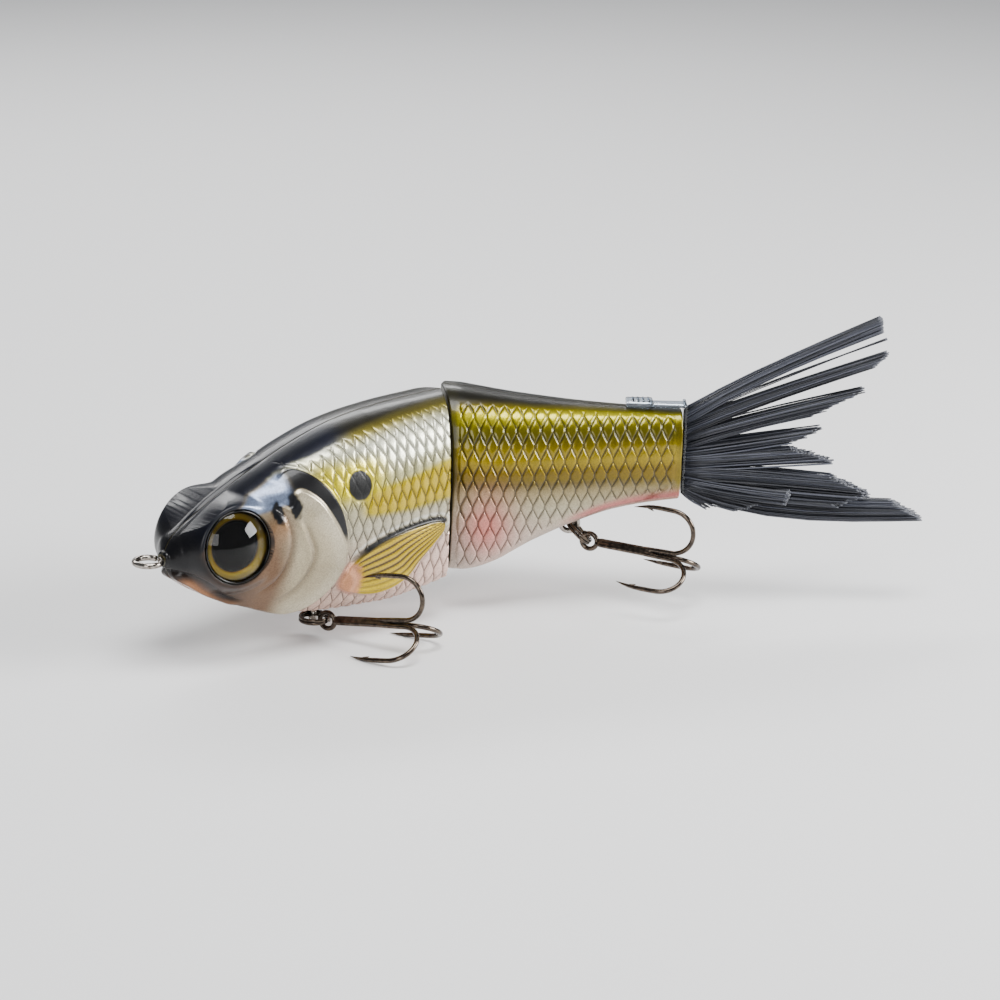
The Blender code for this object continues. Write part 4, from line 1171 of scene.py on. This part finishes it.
def treble(name, start, axis, body, matrix):
    """Treble hook: wire eye, brazed three-lobed shank, three bends with barbed points."""
    axis = Vector(axis).normalized()
    first = (UP - axis * UP.dot(axis)).normalized()

    def at(along, off, out):
        return start + axis * along + out * off

    loop = [start + (axis * c + first * s) * TREBLE_EYE for c, s in circle(1.0, 30)]
    parts = [sweep(loop, circle(TREBLE_WIRE), axis.cross(first), closed=True)]
    profile = []
    for k in range(36):
        a = math.tau * k / 36
        size = BRAZE_RADIUS[0] + BRAZE_RADIUS[1] * math.cos(3 * a)
        profile.append((size * math.sin(a), size * math.cos(a)))
    braze = [start + axis * s for s, _ in BRAZE]
    parts.append(sweep(braze, profile, first, scale=[share for _, share in BRAZE]))
    for k in range(3):
        out = Matrix.Rotation(math.tau * k / 3, 3, axis) @ first
        path = [at(s, r, out) for s, r in TREBLE_LEAVE]
        for i in range(1, BEND_STEPS + 1):
            a = math.pi * i / BEND_STEPS
            path.append(at(TREBLE_STRAIGHT + TREBLE_BEND * math.sin(a),
                           TREBLE_FIRST + TREBLE_BEND * (1 - math.cos(a)), out))
        thick = [1.0] * len(path) + [share for _, _, share in TREBLE_POINT]
        path += [at(s, TREBLE_FAR + r, out) for s, r, _ in TREBLE_POINT]
        parts.append(sweep(path, circle(TREBLE_WIRE), axis.cross(out), scale=thick))
        barb = [at(s, TREBLE_FAR + r, out) for s, r, _ in TREBLE_BARB]
        parts.append(sweep(barb, circle(BARB_RADIUS, 8), axis.cross(out),
                           scale=[share for _, _, share in TREBLE_BARB]))
    verts, faces = join(parts)
    to_object(name, verts, faces, matrix, DARK_STEEL, body, (body,))


def joint_centre(matrix, name):
    """A joint's position in mm of its section's frame."""
    return (matrix.inverted() @ Vector(JOINTS[name]["pos_m"])) / MM


FRONT_LOOP = joint_centre(FRONT_FRAME, "front_ring_swing")
REAR_LOOP = joint_centre(REAR_FRAME, "rear_ring_swing")
FRONT_EYE = joint_centre(FRONT_FRAME, "front_hook_swing")
REAR_EYE = joint_centre(REAR_FRAME, "rear_hook_swing")
# the front ring lies level, out to the lure's left
FRONT_RING_DIR = -Vector(JOINTS["front_ring_swing"]["axis"]).cross(UP).normalized()
if FRONT_RING_DIR.y > 0:
    FRONT_RING_DIR = -FRONT_RING_DIR
REAR_RING_DIR = (REAR_EYE - REAR_LOOP).normalized()
FRONT_RING_CENTRE = FRONT_LOOP + FRONT_RING_DIR * RING_RADIUS
REAR_RING_CENTRE = REAR_LOOP + REAR_RING_DIR * RING_RADIUS
X, Y = Vector((1, 0, 0)), Vector((0, 1, 0))

wire_eye("nose_eye", TIE, X, Y, (TIE_SHANK_END, 0, TIE.z), TIE_RING, "front_section", FRONT_FRAME, "line_tie")
wire_eye("front_hanger", FRONT_LOOP, FRONT_RING_DIR, UP, (FRONT_LOOP.x, 0, FRONT_LOOP.z + FRONT_SHANK),
         LOOP_RADIUS, "front_section", FRONT_FRAME, "front_hook_hanger")
wire_eye("rear_hanger", REAR_LOOP, X, UP, (REAR_LOOP.x, 0, REAR_LOOP.z + REAR_SHANK), LOOP_RADIUS,
         "rear_section", REAR_FRAME, "rear_hook_hanger")
for level, label in zip(HINGE_LEVELS, ("lower", "upper")):
    wire_eye("joint_eye_" + label, (0, 0, level), X, Y, (HINGE_SHANK_END, 0, level), HINGE_RING,
             "front_section", FRONT_FRAME, "hinge_eye_" + label)
split_ring("front_ring", FRONT_RING_CENTRE, FRONT_RING_DIR, UP, "front_split_ring", FRONT_FRAME)
split_ring("rear_ring", REAR_RING_CENTRE, REAR_RING_DIR, REAR_RING_DIR.cross(Y), "rear_split_ring", REAR_FRAME)
front_flat = FRONT_EYE - FRONT_RING_CENTRE
front_shank = Vector((front_flat.x, front_flat.y, 0)).normalized() + UP * FRONT_SHANK_RISE
rear_shank = Vector((math.cos(REAR_HOOK_YAW), -math.sin(REAR_HOOK_YAW), REAR_SHANK_RISE))
treble("front_hook", FRONT_EYE, front_shank, "front_treble_hook", FRONT_FRAME)
treble("rear_hook", REAR_EYE, rear_shank, "rear_treble_hook", REAR_FRAME)


# ---------------------------------------------------------------- tail insert and brush
TAIL_TOP = 24.72
# the insert's bar, top tab, end plate and tongue: low and high corners, rounding
CLIP_BOXES = (
    ((29.0, -0.95, TAIL_TOP + 0.3), (34.5, 0.95, TAIL_TOP + 0.9), 0.2),
    ((25.6, -1.5, TAIL_TOP + 0.35), (29.6, 1.5, TAIL_TOP + 1.25), 0.32),
    ((34.12, -2.1, 12.3), (34.58, 2.1, TAIL_TOP + 0.85), 0.15),
    ((28.4, -0.85, 14.0), (34.4, 0.85, 22.0), 0.25),
)
# the tab's grip ridges
RIDGES = 4
RIDGE_START = 26.5
RIDGE_PITCH = 0.75
RIDGE_LOW = (0.0, -1.15, TAIL_TOP + 1.1)
RIDGE_HIGH = (0.28, 1.15, TAIL_TOP + 1.38)
RIDGE_ROUND = 0.08

ROOT_X = 34.2
ROOT_HALF = 1.5
ROOT_SCATTER = 0.15
BRISTLE_RADIUS = 0.1
BRISTLE_SIDES = 5
BRISTLE_DENSITY = 1.7
BRISTLE_STOPS = (0.0, 0.18, 0.36, 0.54, 0.72, 0.88, 0.985, 0.988, 1.0)
TIP_ROWS = 2                # rows of each bristle, from its end, that have the cut tip's colour
BRISTLE_TONES = (0.5, 0.8, 1.1, 2.1)
STRAY_COUNT = 3             # a lobe with this few bristles keeps them as they are
# each lobe: bristles, root z from and to, first tip (x, z), last tip (x, z), tip y, spread y, bow, jag
LOBES = (
    (120, 24.5, 22.4, (62.4, 39.0), (62.6, 37.0), 0.0, 1.1, 0.9, 0.25),
    (3, 23.2, 22.8, (63.3, 36.2), (63.4, 35.9), -0.4, 0.3, 0.5, 0.1),
    (100, 22.8, 20.6, (63.7, 33.9), (61.6, 31.8), 0.0, 1.0, 0.5, 0.35),
    (100, 20.9, 18.8, (60.6, 28.3), (53.0, 24.2), 0.0, 1.0, 0.3, 0.5),
    (70, 19.0, 17.5, (54.6, 22.3), (50.0, 19.9), 0.0, 1.0, 0.0, 0.5),
    (90, 17.7, 15.6, (50.0, 19.2), (56.8, 17.1), 0.0, 1.0, 0.0, 0.4),
    (110, 16.0, 13.9, (56.4, 14.9), (62.2, 12.3), -0.3, 1.1, 0.35, 0.4),
    (90, 15.0, 13.3, (62.0, 12.2), (57.0, 10.4), -0.4, 1.0, -0.5, 0.9),
    (70, 14.6, 13.0, (50.2, 12.8), (49.6, 10.9), -2.0, 0.5, -0.2, 0.5),
    (36, 13.4, 12.5, (45.4, 10.6), (42.0, 9.7), -1.7, 0.4, -0.4, 0.5),
    (10, 12.8, 12.3, (39.4, 10.4), (37.8, 9.8), -1.4, 0.3, -0.2, 0.3),
    (130, 14.2, 12.2, (66.0, 10.9), (70.4, 8.4), 0.4, 1.2, -1.7, 0.35),
)


def rounded_box(low, high, radius):
    work = bmesh.new()
    bmesh.ops.create_cube(work, size=1.0)
    low, high = Vector(low), Vector(high)
    for vert in work.verts:
        vert.co = Vector([(low[i] + high[i]) / 2 + vert.co[i] * (high[i] - low[i]) for i in range(3)])
    bmesh.ops.bevel(work, geom=list(work.edges), offset=radius, segments=3, affect="EDGES", profile=0.6)
    verts = [v.co.copy() for v in work.verts]
    index = {v: i for i, v in enumerate(work.verts)}
    faces = [tuple(index[v] for v in f.verts) for f in work.faces]
    work.free()
    return verts, faces


def tail_clip():
    parts = [rounded_box(*box) for box in CLIP_BOXES]
    for i in range(RIDGES):
        along = Vector((RIDGE_START + RIDGE_PITCH * i, 0, 0))
        parts.append(rounded_box(along + Vector(RIDGE_LOW), along + Vector(RIDGE_HIGH), RIDGE_ROUND))
    verts, faces = join(parts)
    to_object("tail_clip", verts, faces, REAR_FRAME, CLEAR, "tail", ("tail_insert",))


def brush():
    """Bristles fanned out in lobes, each one slightly off its neighbours in length, sway and tone."""
    rng = random.Random(7)
    parts, tones = [], []
    for strands, root_a, root_b, tip_a, tip_b, tip_y, spread, bow, jag in LOBES:
        count = strands if strands <= STRAY_COUNT else int(strands * BRISTLE_DENSITY)
        for i in range(count):
            t = (i + rng.random()) / count
            lane = rng.uniform(-1, 1)
            root_z = root_a + (root_b - root_a) * t + rng.uniform(-ROOT_SCATTER, ROOT_SCATTER)
            root = Vector((ROOT_X, ROOT_HALF * lane, root_z))
            reach = rng.uniform(-jag, jag * 0.6)
            tip = Vector((tip_a[0] + (tip_b[0] - tip_a[0]) * t + reach, tip_y + spread * lane,
                          tip_a[1] + (tip_b[1] - tip_a[1]) * t + rng.uniform(-0.2, 0.2)))
            sway = Vector((0, rng.uniform(-0.25, 0.25), rng.uniform(-0.18, 0.18) + bow * (0.6 + 0.5 * t)))
            path = [root.lerp(tip, s) + sway * 4 * s * (1 - s) * (1.35 - 0.7 * s) for s in BRISTLE_STOPS]
            thick = BRISTLE_RADIUS * rng.uniform(0.8, 1.15)
            parts.append(sweep(path, circle(thick, BRISTLE_SIDES), (0, 0.2, 1)))
            tone = BRISTLE_TONE * rng.choice(BRISTLE_TONES) * rng.uniform(0.8, 1.2)
            tones += [tone] * (BRISTLE_SIDES * (len(BRISTLE_STOPS) - TIP_ROWS))
            tones += [BRISTLE_TIP] * (BRISTLE_SIDES * TIP_ROWS)
    verts, faces = join(parts)
    obj = to_object("bristle_brush", verts, faces, REAR_FRAME, BRISTLE, "tail", ("brush_tail",))
    set_colours(obj.data, np.array(tones))


tail_clip()
brush()


# ---------------------------------------------------------------- CAD pieces that stay as they are
for name, mat in (("hinge_pin", STEEL), ("ballast_middle", BALLAST), ("ballast_forward", BALLAST),
                  ("ballast_rear", BALLAST)):
    piece = frame["nodes"][name]
    piece.data.materials.clear()
    piece.data.materials.append(mat)

# ---------------------------------------------------------------- floor, light and camera
FLOOR_HALF = 1.5            # metres
FLOOR_TONE = 0.78
FLOOR_ROUGHNESS = 0.6
SKY_COLOUR = (0.9, 0.93, 1.0, 1)
SKY_STRENGTH = 0.22
TARGET = (0, 0, 0.015)
# name, position, width and height in metres, and power in watts
SOFTBOXES = (
    ("key", (0.31, -0.29, 0.20), (0.24, 0.18), 4.0),
    ("top", (-0.02, -0.10, 0.50), (0.34, 0.20), 3.2),
    ("fill", (-0.42, -0.30, 0.20), (0.20, 0.24), 0.9),
    ("back_strip", (0.12, 0.40, 0.28), (0.50, 0.08), 1.6),
)
# where the camera looks, how far it is rolled, and where the lure sits in the picture
FOCAL = 129.6
SENSOR = 36.0
YAW = math.radians(43.0)
TILT = math.radians(17.8)
ROLL = math.radians(-2.0)
DISTANCE = 0.529
AIM_RIGHT = -0.01428
AIM_UP = 0.00639
AIM_Z = 13.5

mesh = bpy.data.meshes.new("floor")
corners = [(x * FLOOR_HALF, y * FLOOR_HALF, CAD_BOX[0][2]) for x, y in ((-1, -1), (1, -1), (1, 1), (-1, 1))]
mesh.from_pydata(corners, [], [(0, 1, 2, 3)])
floor = place("floor", mesh)
mat, _, sockets, _ = new_material("pale_floor")
sockets["Base Color"].default_value = (FLOOR_TONE, FLOOR_TONE, FLOOR_TONE, 1)
sockets["Roughness"].default_value = FLOOR_ROUGHNESS
mesh.materials.append(mat)

world = bpy.data.worlds.new("studio")
world.use_nodes = True
world.node_tree.nodes["Background"].inputs["Color"].default_value = SKY_COLOUR
world.node_tree.nodes["Background"].inputs["Strength"].default_value = SKY_STRENGTH
bpy.context.scene.world = world

for name, position, size, power in SOFTBOXES:
    light = bpy.data.lights.new(name, "AREA")
    light.shape = "RECTANGLE"
    light.size, light.size_y = size
    light.energy = power
    obj = place(name, light)
    obj.location = Vector(position)
    obj.rotation_euler = (Vector(TARGET) - Vector(position)).to_track_quat("-Z", "Y").to_euler()

right = Vector((math.cos(YAW), -math.sin(YAW), 0))
level = Vector((math.sin(YAW), math.cos(YAW), 0))
forward = level * math.cos(TILT) - UP * math.sin(TILT)
up = right.cross(forward)
cam_right = right * math.cos(ROLL) - up * math.sin(ROLL)
cam_up = right * math.sin(ROLL) + up * math.cos(ROLL)
aim = FRONT_FRAME @ Vector((0, 0, AIM_Z * MM))
eye_point = aim - DISTANCE * (forward + cam_right * AIM_RIGHT + cam_up * AIM_UP)
camera = place("camera", bpy.data.cameras.new("camera"))
camera.data.lens = FOCAL
camera.data.sensor_width = SENSOR
camera.matrix_world = Matrix([*zip(cam_right, cam_up, -forward, eye_point), (0, 0, 0, 1)])
bpy.context.scene.camera = camera
